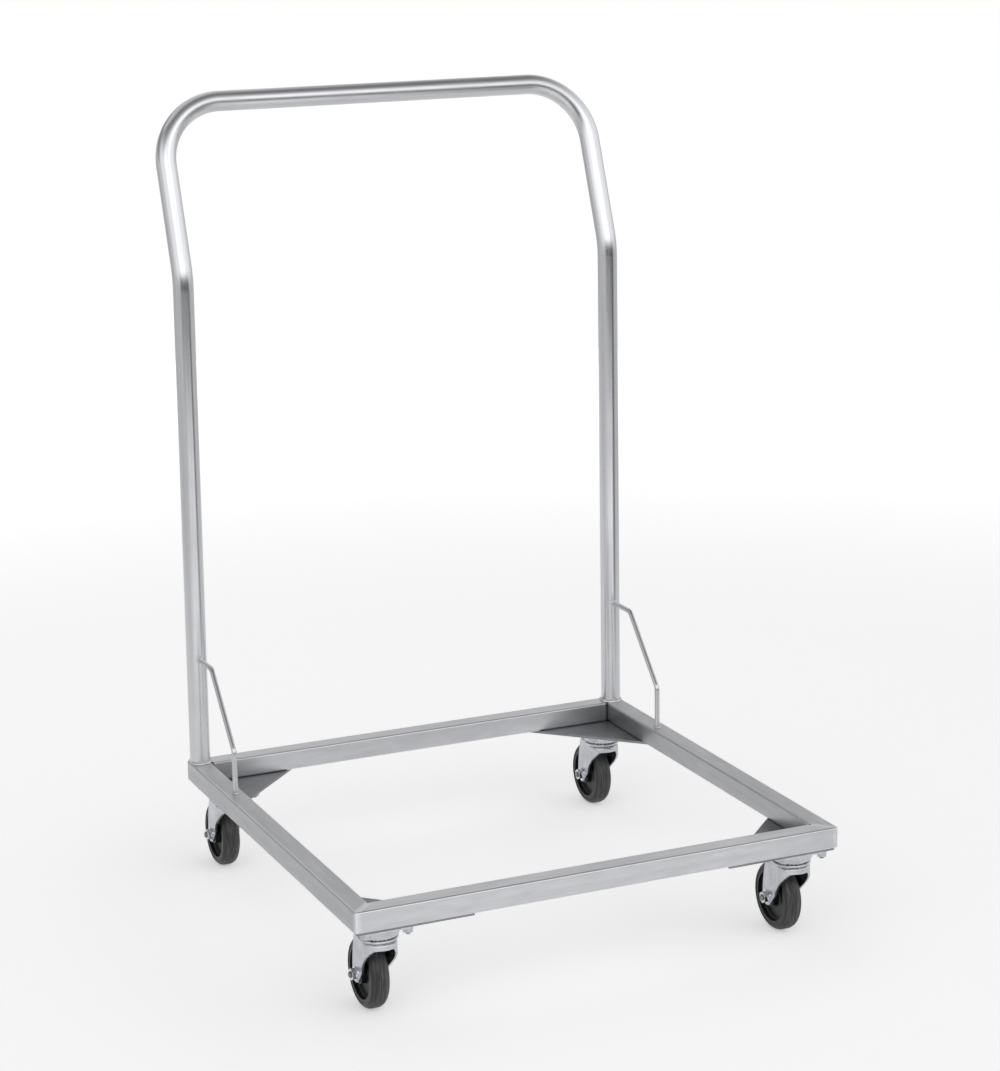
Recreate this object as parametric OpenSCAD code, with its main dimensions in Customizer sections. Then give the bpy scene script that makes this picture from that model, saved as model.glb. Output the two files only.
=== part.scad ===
// Rack dolly: a square tube base on four swivel casters, with a tall bent push handle.
// Front is -Y, the handle stands at +Y, up is +Z and the wheels rest on Z = 0.
// Lengths are in millimetres.

/* [Base frame] */
// Width of the base across its outer faces
base_w = 609.6; // [480:0.1:760]
// Depth of the base across its outer faces
base_d = 584.2; // [480:0.1:760]
// Side of the square tube
tube_side = 25.4; // [22:0.1:38]
// Wall of the square tube
tube_wall = 1.9; // [1.5:0.05:3]
// Radius along the long edges of the square tube
tube_edge_r = 2.5; // [1:0.1:4]
// Radius to which the frame's upright corners are ground
corner_ground_r = 4.8; // [1:0.1:5]

/* [Corner gussets] */
// Leg of the triangular gusset, from the frame's outer faces
gusset_leg = 144; // [130:1:200]
// Thickness of the gusset
gusset_t = 3.2; // [2:0.1:6]
// Step from the frame's outer faces to the gusset's edges
gusset_inset = 4; // [0:0.1:6]
// Width of the gusset's cut-off tips
gusset_tip = 3; // [2:0.5:12]

/* [Handle] */
// Outer diameter of the handle tube
handle_d = 25.4; // [20:0.1:32]
// Wall of the handle tube
handle_wall = 1.65; // [1.2:0.05:3]
// Upright's centre line, in from the frame's outer faces
upright_inset = 12.7; // [12:0.1:18]
// Straight height of the uprights above the deck
upright_h = 604; // [400:1:800]
// Angle at which the upper part leans back
lean_angle = 20.5; // [8:0.5:35]
// Centre line radius of the bend below the leaning part
lean_bend_r = 89; // [60:1:150]
// Leaning length, from that bend to the top bar's centre line
lean_len = 205; // [170:1:300]
// Centre line radius of the two top corners
corner_bend_r = 79; // [60:1:120]
// Leg of the weld bead round the foot of each upright
foot_weld = 2.6; // [1:0.1:4]
// Radius that tube and rod lose where they are bent
bend_draw = 0.05; // [0.03:0.01:0.1]

/* [Brace rods] */
// Diameter of the brace rod
rod_d = 6.35; // [5:0.05:10]
// Height above the deck at which the rod meets the upright
rod_top_h = 137; // [110:1:180]
// Distance from the upright's centre line to the rod's upper bend
rod_upper_y = 59.4; // [45:0.1:80]
// Distance from the upright's centre line to the rod's foot
rod_foot_y = 136.4; // [115:0.1:180]
// Height above the deck of the rod's lower bend
rod_knee_h = 53; // [30:1:70]
// Centre line radius of the rod's bends
rod_bend_r = 12; // [8:0.5:20]
// Leg of the weld bead at each end of the rod
rod_weld = 1.8; // [1:0.1:3]

/* [Caster plate] */
// Overall height of a caster, from the top of its plate to the floor
caster_h = 112.6; // [108:0.1:125]
// Swivel axis, in from the frame's side faces
caster_inset_x = 41.6; // [38:0.1:52]
// Swivel axis, in from the frame's front and rear faces
caster_inset_y = 39.4; // [38:0.1:52]
// Width of the plate, along X
plate_w = 66; // [64:0.5:72]
// Depth of the plate, along Y
plate_d = 68; // [66:0.5:72]
// Thickness of the plate
plate_t = 2.4; // [2:0.1:3]
// Radius of the plate's corners
plate_corner_r = 9; // [2:0.5:12]
// Distance between stud centres, along X
stud_space_x = 50.8; // [48:0.1:54]
// Distance between stud centres, along Y
stud_space_y = 54; // [50:0.1:56]
// Diameter of the studs
stud_d = 6.35; // [5:0.05:7]
// Diameter of the plate's stud holes
stud_hole_d = 7.1; // [7.05:0.05:8]
// Width of the plate nuts across their flats
plate_nut_af = 11.1; // [10:0.1:12]
// Height of the plate nuts
plate_nut_h = 5.6; // [4:0.1:7]
// Length of stud that stands out of the nut
stud_tip = 2.5; // [1:0.1:4]
// Depth of the pressed dish below the plate
dish_h = 13; // [11:0.1:14]
// Outer radius at the dish's root
dish_root_r = 26; // [25:0.1:28]
// Outer radius at the dish's floor
dish_floor_r = 24; // [22.5:0.1:25]

/* [Swivel bearing] */
// Diameter of the bearing balls
ball_d = 3.97; // [3.5:0.01:4.2]
// Radius of the upper ring of balls
upper_ball_ring_r = 19; // [18.5:0.1:19.2]
// Number of balls in the upper ring
upper_balls = 26; // [12:1:26]
// Radius of the lower ring of balls
lower_ball_ring_r = 8.4; // [8:0.1:8.6]
// Number of balls in the lower ring
lower_balls = 11; // [6:1:11]
// Depth to which the balls sit in their races
race_bite = 0.3; // [0.1:0.05:0.6]
// Running clearance between the balls and their races
ball_clear = 0.1; // [0.05:0.01:0.2]
// Sheet thickness of the two pressed races
race_t = 1.6; // [1.2:0.1:2]
// Outer radius of the race ring's rolled rim
race_rim_r = 23.2; // [23:0.1:24.5]
// Height of the race ring's rolled rim
race_rim_h = 3.6; // [3:0.1:4.2]
// Diameter of the king rivet's shank
rivet_d = 9.5; // [8:0.1:10]
// Diameter of the king rivet's heads
rivet_head_d = 15; // [13:0.1:17]
// Height of the king rivet's heads
rivet_head_h = 2.4; // [1.5:0.1:3]
// Radial running clearance of the fork on the king rivet
swivel_fit = 0.05; // [0.02:0.01:0.1]

/* [Fork] */
// Thickness of the fork's sheet
fork_t = 2.5; // [2:0.1:3]
// Gap between the fork's legs
fork_gap = 26; // [25.6:0.1:28]
// Reach of the crown in front of the swivel axis
crown_front = 24.8; // [22:0.1:28]
// Radius of the crown's round front, seen from above
crown_r = 20; // [18:0.1:22]
// Depth of the crown's turned-down front edge, from the crown's top
crown_lip = 7; // [6:0.1:10]
// Distance in front of the swivel axis at which that edge turns down along the legs
crown_lip_y = 20; // [15:0.1:21]
// Radius of that turn
lip_r = 9; // [4:0.5:12]
// Height by which the crown's centre is raised
crown_rise = 2.4; // [2:0.1:3]
// Radius of the bends round the crown
fork_bend_r = 3.4; // [3:0.1:5]
// Distance behind the swivel axis at which the flared sides meet the parallel legs
fork_waist_y = 13; // [10:0.1:15]
// Distance from the swivel axis to the notch for the wheel
crown_notch_y = 17; // [15.5:0.1:19]
// Distance by which the axle trails behind the swivel axis
trail = 30.5; // [28:0.1:34]
// Radius of the leg's end round the axle
leg_end_r = 10; // [9:0.1:14]
// Radius of the leg's rounded back edge
leg_back_r = 160; // [90:5:240]

/* [Axle] */
// Diameter of the axle bolt
axle_d = 7.94; // [6:0.01:9]
// Radial clearance of the bolt in the fork's holes and the sleeve
axle_clear = 0.1; // [0.05:0.01:0.2]
// Width of the bolt's head and of its nut across the flats
axle_af = 12.7; // [11:0.1:14]
// Height of the bolt's head
axle_head_h = 5.2; // [4:0.1:6]
// Height of the nut, with its flange
axle_nut_h = 6.4; // [5:0.1:8]
// Diameter of the nut's flange
axle_flange_d = 16.6; // [15:0.1:19]
// Length of bolt that stands out of the nut
axle_tip = 1.8; // [1:0.1:4]
// Outer diameter of the axle sleeve
sleeve_d = 12.7; // [11:0.1:14]

/* [Wheel] */
// Diameter of the wheel over its tread
wheel_d = 82; // [78:0.1:90]
// Width of the tyre
tyre_w = 22.4; // [21:0.1:23.4]
// Diameter of the rim under the tyre
rim_d = 69; // [62:0.5:70]
// Radius of the tyre's shoulders
shoulder_r = 8.6; // [8.2:0.1:10]
// Half of the flat width of the tread
tread_flat = 3.2; // [2.8:0.1:5]
// Width of the rim
rim_w = 21.4; // [18:0.1:22]
// Depth of the rim's ring under the tyre
rim_ring = 4.6; // [3:0.1:7]
// Height of the rib that keys the tyre to the rim
key_h = 1.5; // [0.5:0.1:2.5]
// Width of that rib
key_w = 8; // [4:0.5:12]
// Thickness of the web between the hub and the rim
web_t = 8; // [5:0.5:14]
// Diameter of the hub
hub_d = 24; // [20:0.5:30]
// Length of the hub
hub_len = 25; // [24:0.1:25.4]
// Radial running clearance of the wheel on its sleeve
wheel_fit = 0.05; // [0.02:0.01:0.1]

/* [Hidden] */
$fn = 96;

// Heights above the floor
gusset_z = caster_h;
rail_z = gusset_z + gusset_t;
deck_z = rail_z + tube_side;

// Handle, measured from the middle of the base
handle_r = handle_d / 2;
upright_x = base_w / 2 - upright_inset;
upright_y = base_d / 2 - upright_inset;
lean_y = upright_y + lean_bend_r * (1 - cos(lean_angle));
lean_z = deck_z + upright_h + lean_bend_r * sin(lean_angle);
bar_y = lean_y + lean_len * sin(lean_angle);

// Length by which a straight bar runs on into the bend at its end
bend_lap = 0.4;
// Depths at which the fork's flared sides leave its round front, and its front edge meets the leg's end
flare_lap = 0.05;
edge_lap = 0.02;

// Casters, measured from the middle of the base
caster_x = base_w / 2 - caster_inset_x;
caster_y = base_d / 2 - caster_inset_y;
wheel_r = wheel_d / 2;

// The origin lies midway between the frontmost and rearmost points
back_y = max(bar_y + handle_r, base_d / 2, caster_y + trail + wheel_r);
base_y = (base_d / 2 - back_y) / 2;

// The ground corners keep some of the tube's wall
ground_r = min(corner_ground_r, 2.6 * tube_wall);
edge_r = min(tube_edge_r, 2.6 * tube_wall);

// Levels inside a caster, measured down from the top of its plate
ball_r = ball_d / 2;
ball_seat = ball_r - race_bite;
groove_r = ball_r + ball_clear;
dish_z = -plate_t - dish_h;
upper_ball_z = dish_z - ball_seat;
race_top_z = upper_ball_z - ball_seat;
crown_z = race_top_z - race_t;
boss_z = crown_z + crown_rise;
recess_z = boss_z - fork_t;
lower_ball_z = recess_z - ball_seat;
lower_race_z = lower_ball_z - ball_seat;
rivet_bottom_z = lower_race_z - race_t;
axle_z = wheel_r - caster_h;

// Radii that fit one another in the swivel
rivet_r = rivet_d / 2;
lower_race_r = lower_ball_ring_r + groove_r + 0.6;
recess_r = lower_race_r + 0.5;
boss_r = recess_r + fork_t;
race_hole_r = boss_r + 0.1;

// Fork, sleeve and wheel
leg_x = fork_gap / 2 + fork_t;
bend_inner_r = max(fork_bend_r - fork_t, 0.4);
crown_y = crown_r - crown_front;
waist_dist = norm([leg_x, fork_waist_y - crown_y]);
flare_angle = atan2(fork_waist_y - crown_y, leg_x) - acos(crown_r / waist_dist);
flare_len = sqrt(waist_dist * waist_dist - crown_r * crown_r);
sleeve_r = sleeve_d / 2;
rim_r = rim_d / 2;
bolt_r = axle_d / 2;

// Brace rod
rod_r = rod_d / 2;
rod_slope = atan2(rod_top_h - rod_knee_h, rod_foot_y - rod_upper_y);
rod_trim = rod_bend_r * tan(rod_slope / 2);
rod_foot_trim = rod_bend_r * tan((90 - rod_slope) / 2);
rod_run = norm([rod_top_h - rod_knee_h, rod_foot_y - rod_upper_y]);

LEFT = -1;
RIGHT = 1;
FRONT = -1;
REAR = 1;

// Colours of the finishes
steel = "silver";
zinc = "gainsboro";
black = "#1d1d1f";
rubber = "#3b3b3e";

// Shared shapes

// Flat outline of a rectangle with round corners, centred
module round_rect(w, d, r) {
  square([w - 2 * r, d], center = true);
  square([w, d - 2 * r], center = true);
  for (x = [-1, 1], y = [-1, 1])
    translate([x * (w / 2 - r), y * (d / 2 - r)])
      circle(r);
}

// Moves a piece that is drawn round the base's middle to the base's place along Y
module at_base() {
  translate([0, base_y, 0])
    children();
}

// Places a piece on a caster's swivel axis, at the top of its plate
module at_caster(side, end) {
  translate([side * caster_x, base_y + end * caster_y, caster_h])
    children();
}

// Turns a shape from the Z axis to a caster's axle, which runs along X
module at_axle() {
  translate([0, trail, axle_z])
    rotate([0, 90, 0])
      children();
}

// Hexagonal prism that stands on Z = 0, by its width across the flats
module hex_prism(af, h) {
  cylinder(h = h, r = af / 2 / cos(30), $fn = 6);
}

// Hexagonal nut whose bore clears the thread, with the corners of both ends turned off
module hex_nut(af, h, bore_r) {
  corner = af / 2 / cos(30);
  difference() {
    intersection() {
      hex_prism(af, h);
      rotate_extrude()
        polygon([[0, 0], [af / 2, 0], [corner, (corner - af / 2) / 2],
                 [corner, h - (corner - af / 2) / 2], [af / 2, h], [0, h]]);
    }
    translate([0, 0, -1])
      cylinder(h = h + 2, r = bore_r);
  }
}

// Base frame

// Cross-section of the square tube
module tube_section() {
  difference() {
    round_rect(tube_side, tube_side, edge_r);
    square(tube_side - 2 * tube_wall, center = true);
  }
}

// One rail along X, mitred at both ends, with its outer face on Y = 0
module mitred_rail(len) {
  intersection() {
    translate([0, tube_side / 2, tube_side / 2])
      rotate([90, 0, 90])
        linear_extrude(height = len, center = true)
          tube_section();
    linear_extrude(height = tube_side)
      polygon([[-len / 2, 0], [len / 2, 0],
               [len / 2 - tube_side, tube_side], [tube_side - len / 2, tube_side]]);
  }
}

// Block of the base's size, whose upright corners are ground round, also at their ends
module ground_block() {
  bevel_r = min(edge_r, 0.48 * ground_r);
  linear_extrude(height = tube_side) {
    square([base_w - 2 * ground_r, base_d], center = true);
    square([base_w, base_d - 2 * ground_r], center = true);
  }
  for (x = [-1, 1], y = [-1, 1])
    translate([x * (base_w / 2 - ground_r), y * (base_d / 2 - ground_r), 0])
      rotate_extrude() {
        square([ground_r - bevel_r, tube_side]);
        translate([0, bevel_r])
          square([ground_r, tube_side - 2 * bevel_r]);
        for (z = [bevel_r, tube_side - bevel_r])
          translate([ground_r - bevel_r, z])
            circle(bevel_r);
      }
}

// The rail on the side that the turn faces, where len spans the base there and across reaches to it
module rail(turn, len, across) {
  color(steel)
    at_base()
      translate([0, 0, rail_z])
        intersection() {
          rotate([0, 0, turn])
            translate([0, -across / 2, 0])
              mitred_rail(len);
          ground_block();
        }
}

module front_rail() {
  rail(0, base_w, base_d);
}

module rear_rail() {
  rail(180, base_w, base_d);
}

module left_rail() {
  rail(-90, base_d, base_w);
}

module right_rail() {
  rail(90, base_d, base_w);
}

// Triangular plate under a corner of the base, with its tips cut off
module gusset(side, end) {
  reach = gusset_leg - gusset_inset;
  color(steel)
    at_base()
      intersection() {
        translate([side * (base_w / 2 - gusset_inset), end * (base_d / 2 - gusset_inset), gusset_z])
          linear_extrude(height = gusset_t)
            polygon([[0, 0], [-side * reach, 0], [-side * reach, -end * gusset_tip],
                     [-side * gusset_tip, -end * reach], [0, -end * reach]]);
        // The gusset's own corner is ground with the frame's
        translate([0, 0, gusset_z])
          linear_extrude(height = gusset_t)
            round_rect(base_w, base_d, ground_r);
      }
}

// Handle

// Straight bar of radius r, up from the origin by len, which laps into the bends at its ends
module straight_bar(r, len, lap_below, lap_above) {
  translate([0, 0, -lap_below])
    cylinder(h = len + lap_below + lap_above, r = r);
}

// Bend of a bar of radius r that starts upright at the origin and turns towards +Y
module bent_bar(r, bend_r, angle) {
  translate([0, bend_r, 0])
    rotate([90, 0, -90])
      rotate_extrude(angle = angle)
        translate([bend_r, 0])
          circle(r - bend_draw);
}

// Side of the handle as a bar of radius r, from its foot to the end of its top corner
module handle_side(side, r, foot) {
  translate([side * upright_x, upright_y, deck_z]) {
    straight_bar(r, upright_h, foot, bend_lap);
    translate([0, 0, upright_h])
      bent_bar(r, lean_bend_r, lean_angle);
  }
  translate([side * upright_x, lean_y, lean_z])
    rotate([-lean_angle, 0, 0]) {
      straight_bar(r, lean_len - corner_bend_r, bend_lap, bend_lap);
      translate([0, 0, lean_len - corner_bend_r])
        rotate([0, 0, side * 90])
          bent_bar(r, corner_bend_r, 90);
    }
}

// The handle as a solid bar of radius r
module handle_bar(r, foot) {
  bar_len = 2 * (upright_x - corner_bend_r);
  handle_side(LEFT, r, foot);
  handle_side(RIGHT, r, foot);
  translate([0, lean_y, lean_z])
    rotate([-lean_angle, 0, 0])
      translate([-bar_len / 2, 0, lean_len])
        rotate([0, 90, 0])
          straight_bar(r, bar_len, bend_lap, bend_lap);
}

// One hollow tube bent four times: two uprights, the leaning part and the top bar
module handle_tube() {
  color(steel)
    at_base()
      difference() {
        handle_bar(handle_r, 0);
        handle_bar(handle_r - handle_wall, 1);
      }
}

// Bead of quarter-round section round a shaft of radius r that leaves the plane Z = 0
module weld_ring(r, leg) {
  rotate_extrude()
    translate([r, 0])
      intersection() {
        circle(leg);
        square(leg);
      }
}

// Weld beads round the feet of the uprights, where the rails' flat tops lie under them
module handle_welds() {
  flat = tube_side / 2 - edge_r;
  reach = handle_r + foot_weld + 1;
  color(zinc)
    at_base()
      for (side = [LEFT, RIGHT])
        translate([side * upright_x, upright_y, deck_z])
          intersection() {
            weld_ring(handle_r, foot_weld);
            translate([side * (tube_side / 2 - upright_inset) * -1, tube_side / 2 - upright_inset, 0])
              union() {
                translate([-flat, -reach - flat, -1])
                  cube([2 * flat, reach + 2 * flat, foot_weld + 2]);
                translate([side > 0 ? -reach - flat : -flat, -flat, -1])
                  cube([reach + 2 * flat, 2 * flat, foot_weld + 2]);
              }
          }
}

// Brace rods

// Rod that leaves the upright, slopes down to the front and ends upright on the side rail.
// It is drawn from its foot, as a bar that turns twice towards the upright.
module brace_rod(side) {
  color(zinc)
    at_base()
      difference() {
        translate([side * upright_x, upright_y - rod_foot_y, deck_z]) {
          straight_bar(rod_r, rod_knee_h - rod_foot_trim, 0, bend_lap);
          translate([0, 0, rod_knee_h - rod_foot_trim])
            bent_bar(rod_r, rod_bend_r, 90 - rod_slope);
          translate([0, 0, rod_knee_h])
            rotate([rod_slope - 90, 0, 0]) {
              translate([0, 0, rod_foot_trim])
                straight_bar(rod_r, rod_run - rod_trim - rod_foot_trim, bend_lap, bend_lap);
              translate([0, 0, rod_run - rod_trim])
                bent_bar(rod_r, rod_bend_r, rod_slope);
            }
          translate([0, rod_foot_y - rod_upper_y + rod_trim, rod_top_h])
            rotate([-90, 0, 0])
              straight_bar(rod_r, rod_upper_y - rod_trim, bend_lap, 0);
        }
        translate([side * upright_x, upright_y, deck_z])
          cylinder(h = upright_h, r = handle_r);
      }
}

// Weld beads at both ends of both rods
module brace_welds() {
  color(zinc)
    at_base()
      for (side = [LEFT, RIGHT]) {
        translate([side * upright_x, upright_y - rod_foot_y, deck_z])
          weld_ring(rod_r, rod_weld);
        difference() {
          translate([side * upright_x, upright_y - handle_r, deck_z + rod_top_h])
            rotate([90, 0, 0]) {
              weld_ring(rod_r, rod_weld);
              translate([0, 0, -rod_weld])
                difference() {
                  cylinder(h = rod_weld, r = rod_r + rod_weld);
                  translate([0, 0, -1])
                    cylinder(h = rod_weld + 2, r = rod_r);
                }
            }
          translate([side * upright_x, upright_y, deck_z])
            cylinder(h = upright_h, r = handle_r);
        }
      }
}

// Studs and nuts that hold the caster plates

// Places a piece at each of the sixteen studs, at the underside of the gussets
module at_studs() {
  for (side = [LEFT, RIGHT], end = [FRONT, REAR])
    at_caster(side, end)
      plate_pattern()
        children();
}

// Places a piece at the four corners of a plate's stud pattern
module plate_pattern() {
  for (x = [-1, 1], y = [-1, 1])
    translate([x * stud_space_x / 2, y * stud_space_y / 2, 0])
      children();
}

// Threaded studs welded to the gussets, each with a chamfered tip
module plate_studs() {
  len = plate_t + plate_nut_h + stud_tip;
  chamfer = stud_d * 0.12;
  color(zinc)
    at_studs()
      rotate_extrude()
        polygon([[0, 0], [stud_d / 2, 0], [stud_d / 2, chamfer - len],
                 [stud_d / 2 - chamfer, -len], [0, -len]]);
}

module plate_nuts() {
  color(zinc)
    at_studs()
      translate([0, 0, -plate_t - plate_nut_h])
        hex_nut(plate_nut_af, plate_nut_h, stud_d / 2 + 0.05);
}

// Caster, in its own frame: Z = 0 is the top of the plate and the swivel axis is the Z axis

// Pressed plate with a deep dish, whose floor carries the upper race
module caster_plate(side, end) {
  root = 3;
  color(zinc)
    at_caster(side, end)
      difference() {
        union() {
          translate([0, 0, -plate_t])
            linear_extrude(height = plate_t)
              round_rect(plate_w, plate_d, plate_corner_r);
          rotate_extrude()
            difference() {
              polygon([[0, -plate_t], [dish_root_r + root, -plate_t], [dish_root_r, -plate_t - root],
                       [dish_floor_r, dish_z + 1.2], [dish_floor_r - 1.2, dish_z], [0, dish_z]]);
              translate([dish_root_r + root, -plate_t - root])
                circle(root);
            }
        }
        // Hollow of the dish, open to the top
        rotate_extrude()
          polygon([[0, 1], [dish_root_r - plate_t + 1, 1], [dish_root_r - plate_t + 1, 0],
                   [dish_root_r - plate_t, -plate_t], [dish_floor_r - plate_t, dish_z + plate_t + 1],
                   [dish_floor_r - plate_t - 1, dish_z + plate_t], [0, dish_z + plate_t]]);
        // Groove of the upper race
        rotate_extrude()
          translate([upper_ball_ring_r, upper_ball_z])
            circle(groove_r);
        translate([0, 0, dish_z - 1])
          cylinder(h = plate_t + 2, r = rivet_r + swivel_fit);
        plate_pattern()
          translate([0, 0, -plate_t - 1])
            cylinder(h = plate_t + 2, r = stud_hole_d / 2);
      }
}

// Rivet through the dish, the crown and the lower race, with a domed head at each end
module king_rivet(side, end) {
  top = dish_z + plate_t;
  head_r = rivet_head_d / 2;
  edge = rivet_head_h * 0.45;
  color(zinc)
    at_caster(side, end)
      rotate_extrude()
        polygon([[0, rivet_bottom_z - rivet_head_h], [head_r - edge, rivet_bottom_z - rivet_head_h],
                 [head_r, rivet_bottom_z - rivet_head_h + edge], [head_r, rivet_bottom_z],
                 [rivet_r, rivet_bottom_z], [rivet_r, top], [head_r, top],
                 [head_r, top + rivet_head_h - edge], [head_r - edge, top + rivet_head_h],
                 [0, top + rivet_head_h]]);
}

// Pressed cup that holds the lower balls against the underside of the crown
module lower_race(side, end) {
  color(zinc)
    at_caster(side, end)
      rotate_extrude()
        difference() {
          translate([rivet_r + swivel_fit, rivet_bottom_z])
            square([lower_race_r - rivet_r - swivel_fit, lower_ball_z - rivet_bottom_z]);
          translate([0, lower_race_z])
            square([lower_ball_ring_r, 10]);
          translate([lower_ball_ring_r, lower_ball_z])
            circle(groove_r);
          translate([lower_ball_ring_r, lower_ball_z])
            square([groove_r, 10]);
        }
}

// Both rings of balls
module balls(side, end) {
  color(zinc)
    at_caster(side, end) {
      for (i = [0 : upper_balls - 1])
        rotate([0, 0, i * 360 / upper_balls])
          translate([upper_ball_ring_r, 0, upper_ball_z])
            sphere(ball_r, $fn = 32);
      for (i = [0 : lower_balls - 1])
        rotate([0, 0, i * 360 / lower_balls])
          translate([lower_ball_ring_r, 0, lower_ball_z])
            sphere(ball_r, $fn = 32);
    }
}

// Pressed ring that turns with the fork: a grooved floor under the balls and a rolled rim
module race_ring(side, end) {
  rim = race_rim_h / 2;
  color(zinc)
    at_caster(side, end)
      rotate_extrude()
        difference() {
          union() {
            translate([race_hole_r, crown_z])
              square([race_rim_r - rim - race_hole_r, race_t]);
            translate([race_rim_r - rim - 0.6, crown_z])
              square([0.6, race_rim_h]);
            translate([race_rim_r - rim, crown_z + rim])
              circle(rim);
          }
          translate([upper_ball_ring_r, upper_ball_z])
            circle(groove_r);
          translate([upper_ball_ring_r - groove_r, upper_ball_z])
            square([2 * groove_r, 10]);
        }
}

// Side outline of the fork, with Y along the page and Z up it
module fork_side_outline() {
  lip = [-crown_lip_y, crown_z - crown_lip];
  axle = [trail, axle_z];
  // Direction of the straight front edge, from the lip to where it touches the leg's round end
  touch_r = leg_end_r - edge_lap;
  slope = atan2(lip[1] - axle[1], axle[0] - lip[0]) + asin(touch_r / norm(axle - lip));
  down = [cos(slope), -sin(slope)];
  // Round between the lip and that edge, from its centre
  start = lip_r / tan(90 - slope / 2);
  middle = lip - [start, lip_r];
  intersection() {
    translate([trail + leg_end_r - leg_back_r, axle_z])
      circle(leg_back_r, $fn = 200);
    polygon([[-crown_front - 1, crown_z], [-crown_front - 1, lip[1]], lip,
             axle - touch_r * [sin(slope), cos(slope)], axle,
             [trail + leg_end_r, axle_z], [trail + leg_end_r, crown_z]]);
  }
  translate(axle)
    circle(leg_end_r);
  difference() {
    polygon([lip + [-start, 2], lip - [start, 0], middle, lip + start * down,
             lip + start * down + [2, 0]]);
    translate(middle)
      circle(lip_r);
  }
}

// Section of a block that is as deep as the fork, with its upper outer edge bent over
module bent_edge(from, to, top, bend) {
  depth = 100;
  translate([from, top - depth])
    square([to - bend - from, depth]);
  translate([from, top - depth])
    square([to - from, depth - bend]);
  translate([to - bend, top - bend])
    circle(bend);
}

// Block with a round front, flared sides and parallel legs, thinner by inset all round
module fork_block(inset, bend) {
  top = crown_z - inset;
  back = trail + leg_end_r + 10;
  translate([0, crown_y, 0])
    rotate_extrude()
      bent_edge(0, crown_r - inset, top, bend);
  for (turn = [0, 1])
    mirror([turn, 0, 0]) {
      translate([0, crown_y, 0])
        rotate([0, 0, flare_angle])
          translate([0, flare_len + 4, 0])
            rotate([90, 0, 0])
              linear_extrude(height = flare_len + 4)
                bent_edge(0, crown_r - inset - flare_lap, top, bend);
      translate([0, back, 0])
        rotate([90, 0, 0])
          linear_extrude(height = back - crown_y)
            bent_edge(-1, leg_x - inset, top, bend);
    }
}

// Crown and two legs, pressed from one sheet
module fork(side, end) {
  notch_r = 4;
  notch_w = fork_gap / 2;
  color(zinc)
    at_caster(side, end)
      difference() {
        union() {
          intersection() {
            fork_block(0, fork_bend_r);
            rotate([90, 0, 90])
              linear_extrude(height = 2 * crown_r + 4, center = true)
                fork_side_outline();
          }
          translate([0, 0, crown_z - fork_t / 2])
            cylinder(h = fork_t / 2 + crown_rise, r = boss_r);
        }
        fork_block(fork_t, bend_inner_r);
        // Hollow under the raised centre
        translate([0, 0, crown_z - fork_t - 1])
          cylinder(h = recess_z - crown_z + fork_t + 1, r = recess_r);
        // Groove of the lower race's upper half
        rotate_extrude()
          translate([lower_ball_ring_r, lower_ball_z])
            circle(groove_r);
        translate([0, 0, recess_z - 1])
          cylinder(h = fork_t + 2, r = rivet_r + swivel_fit);
        // Notch that clears the top of the wheel
        translate([0, 0, crown_z - fork_t - 1])
          linear_extrude(height = fork_t + crown_rise + 2)
            union() {
              translate([-notch_w, crown_notch_y + notch_r])
                square([2 * notch_w, trail + leg_end_r]);
              translate([notch_r - notch_w, crown_notch_y])
                square([2 * (notch_w - notch_r), trail + leg_end_r]);
              for (x = [-1, 1])
                translate([x * (notch_w - notch_r), crown_notch_y + notch_r])
                  circle(notch_r);
            }
        at_axle()
          cylinder(h = 2 * leg_x + 2, r = bolt_r + axle_clear, center = true);
      }
}

// Hexagon bolt, head on the right
module axle_bolt(side, end) {
  len = 2 * leg_x + axle_nut_h + axle_tip;
  chamfer = axle_d * 0.12;
  corner = axle_af / 2 / cos(30);
  color(zinc)
    at_caster(side, end)
      at_axle() {
        intersection() {
          translate([0, 0, leg_x])
            hex_prism(axle_af, axle_head_h);
          translate([0, 0, leg_x])
            rotate_extrude()
              polygon([[0, 0], [corner, 0], [corner, axle_head_h - (corner - axle_af / 2) / 2],
                       [axle_af / 2, axle_head_h], [0, axle_head_h]]);
        }
        translate([0, 0, leg_x - len])
          rotate_extrude()
            polygon([[0, 0], [bolt_r - chamfer, 0], [bolt_r, chamfer], [bolt_r, len], [0, len]]);
      }
}

// Flanged nut, on the left
module axle_nut(side, end) {
  flange_t = 1.3;
  color(zinc)
    at_caster(side, end)
      at_axle()
        translate([0, 0, -leg_x - axle_nut_h]) {
          hex_nut(axle_af, axle_nut_h - flange_t, bolt_r + 0.05);
          translate([0, 0, axle_nut_h - flange_t])
            difference() {
              cylinder(h = flange_t, r = axle_flange_d / 2);
              translate([0, 0, -1])
                cylinder(h = flange_t + 2, r = bolt_r + 0.05);
            }
        }
}

// Tube that the bolt clamps between the legs, on which the wheel runs
module axle_sleeve(side, end) {
  color(zinc)
    at_caster(side, end)
      at_axle()
        difference() {
          cylinder(h = fork_gap, r = sleeve_r, center = true);
          cylinder(h = fork_gap + 2, r = bolt_r + axle_clear, center = true);
        }
}

// Half-width of the rim's keyed outer surface, as an outline of radius over width
module rim_outline() {
  translate([0, -rim_w / 2])
    square([rim_r, rim_w]);
  translate([0, -key_w / 2])
    square([rim_r + key_h, key_w]);
}

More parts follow.
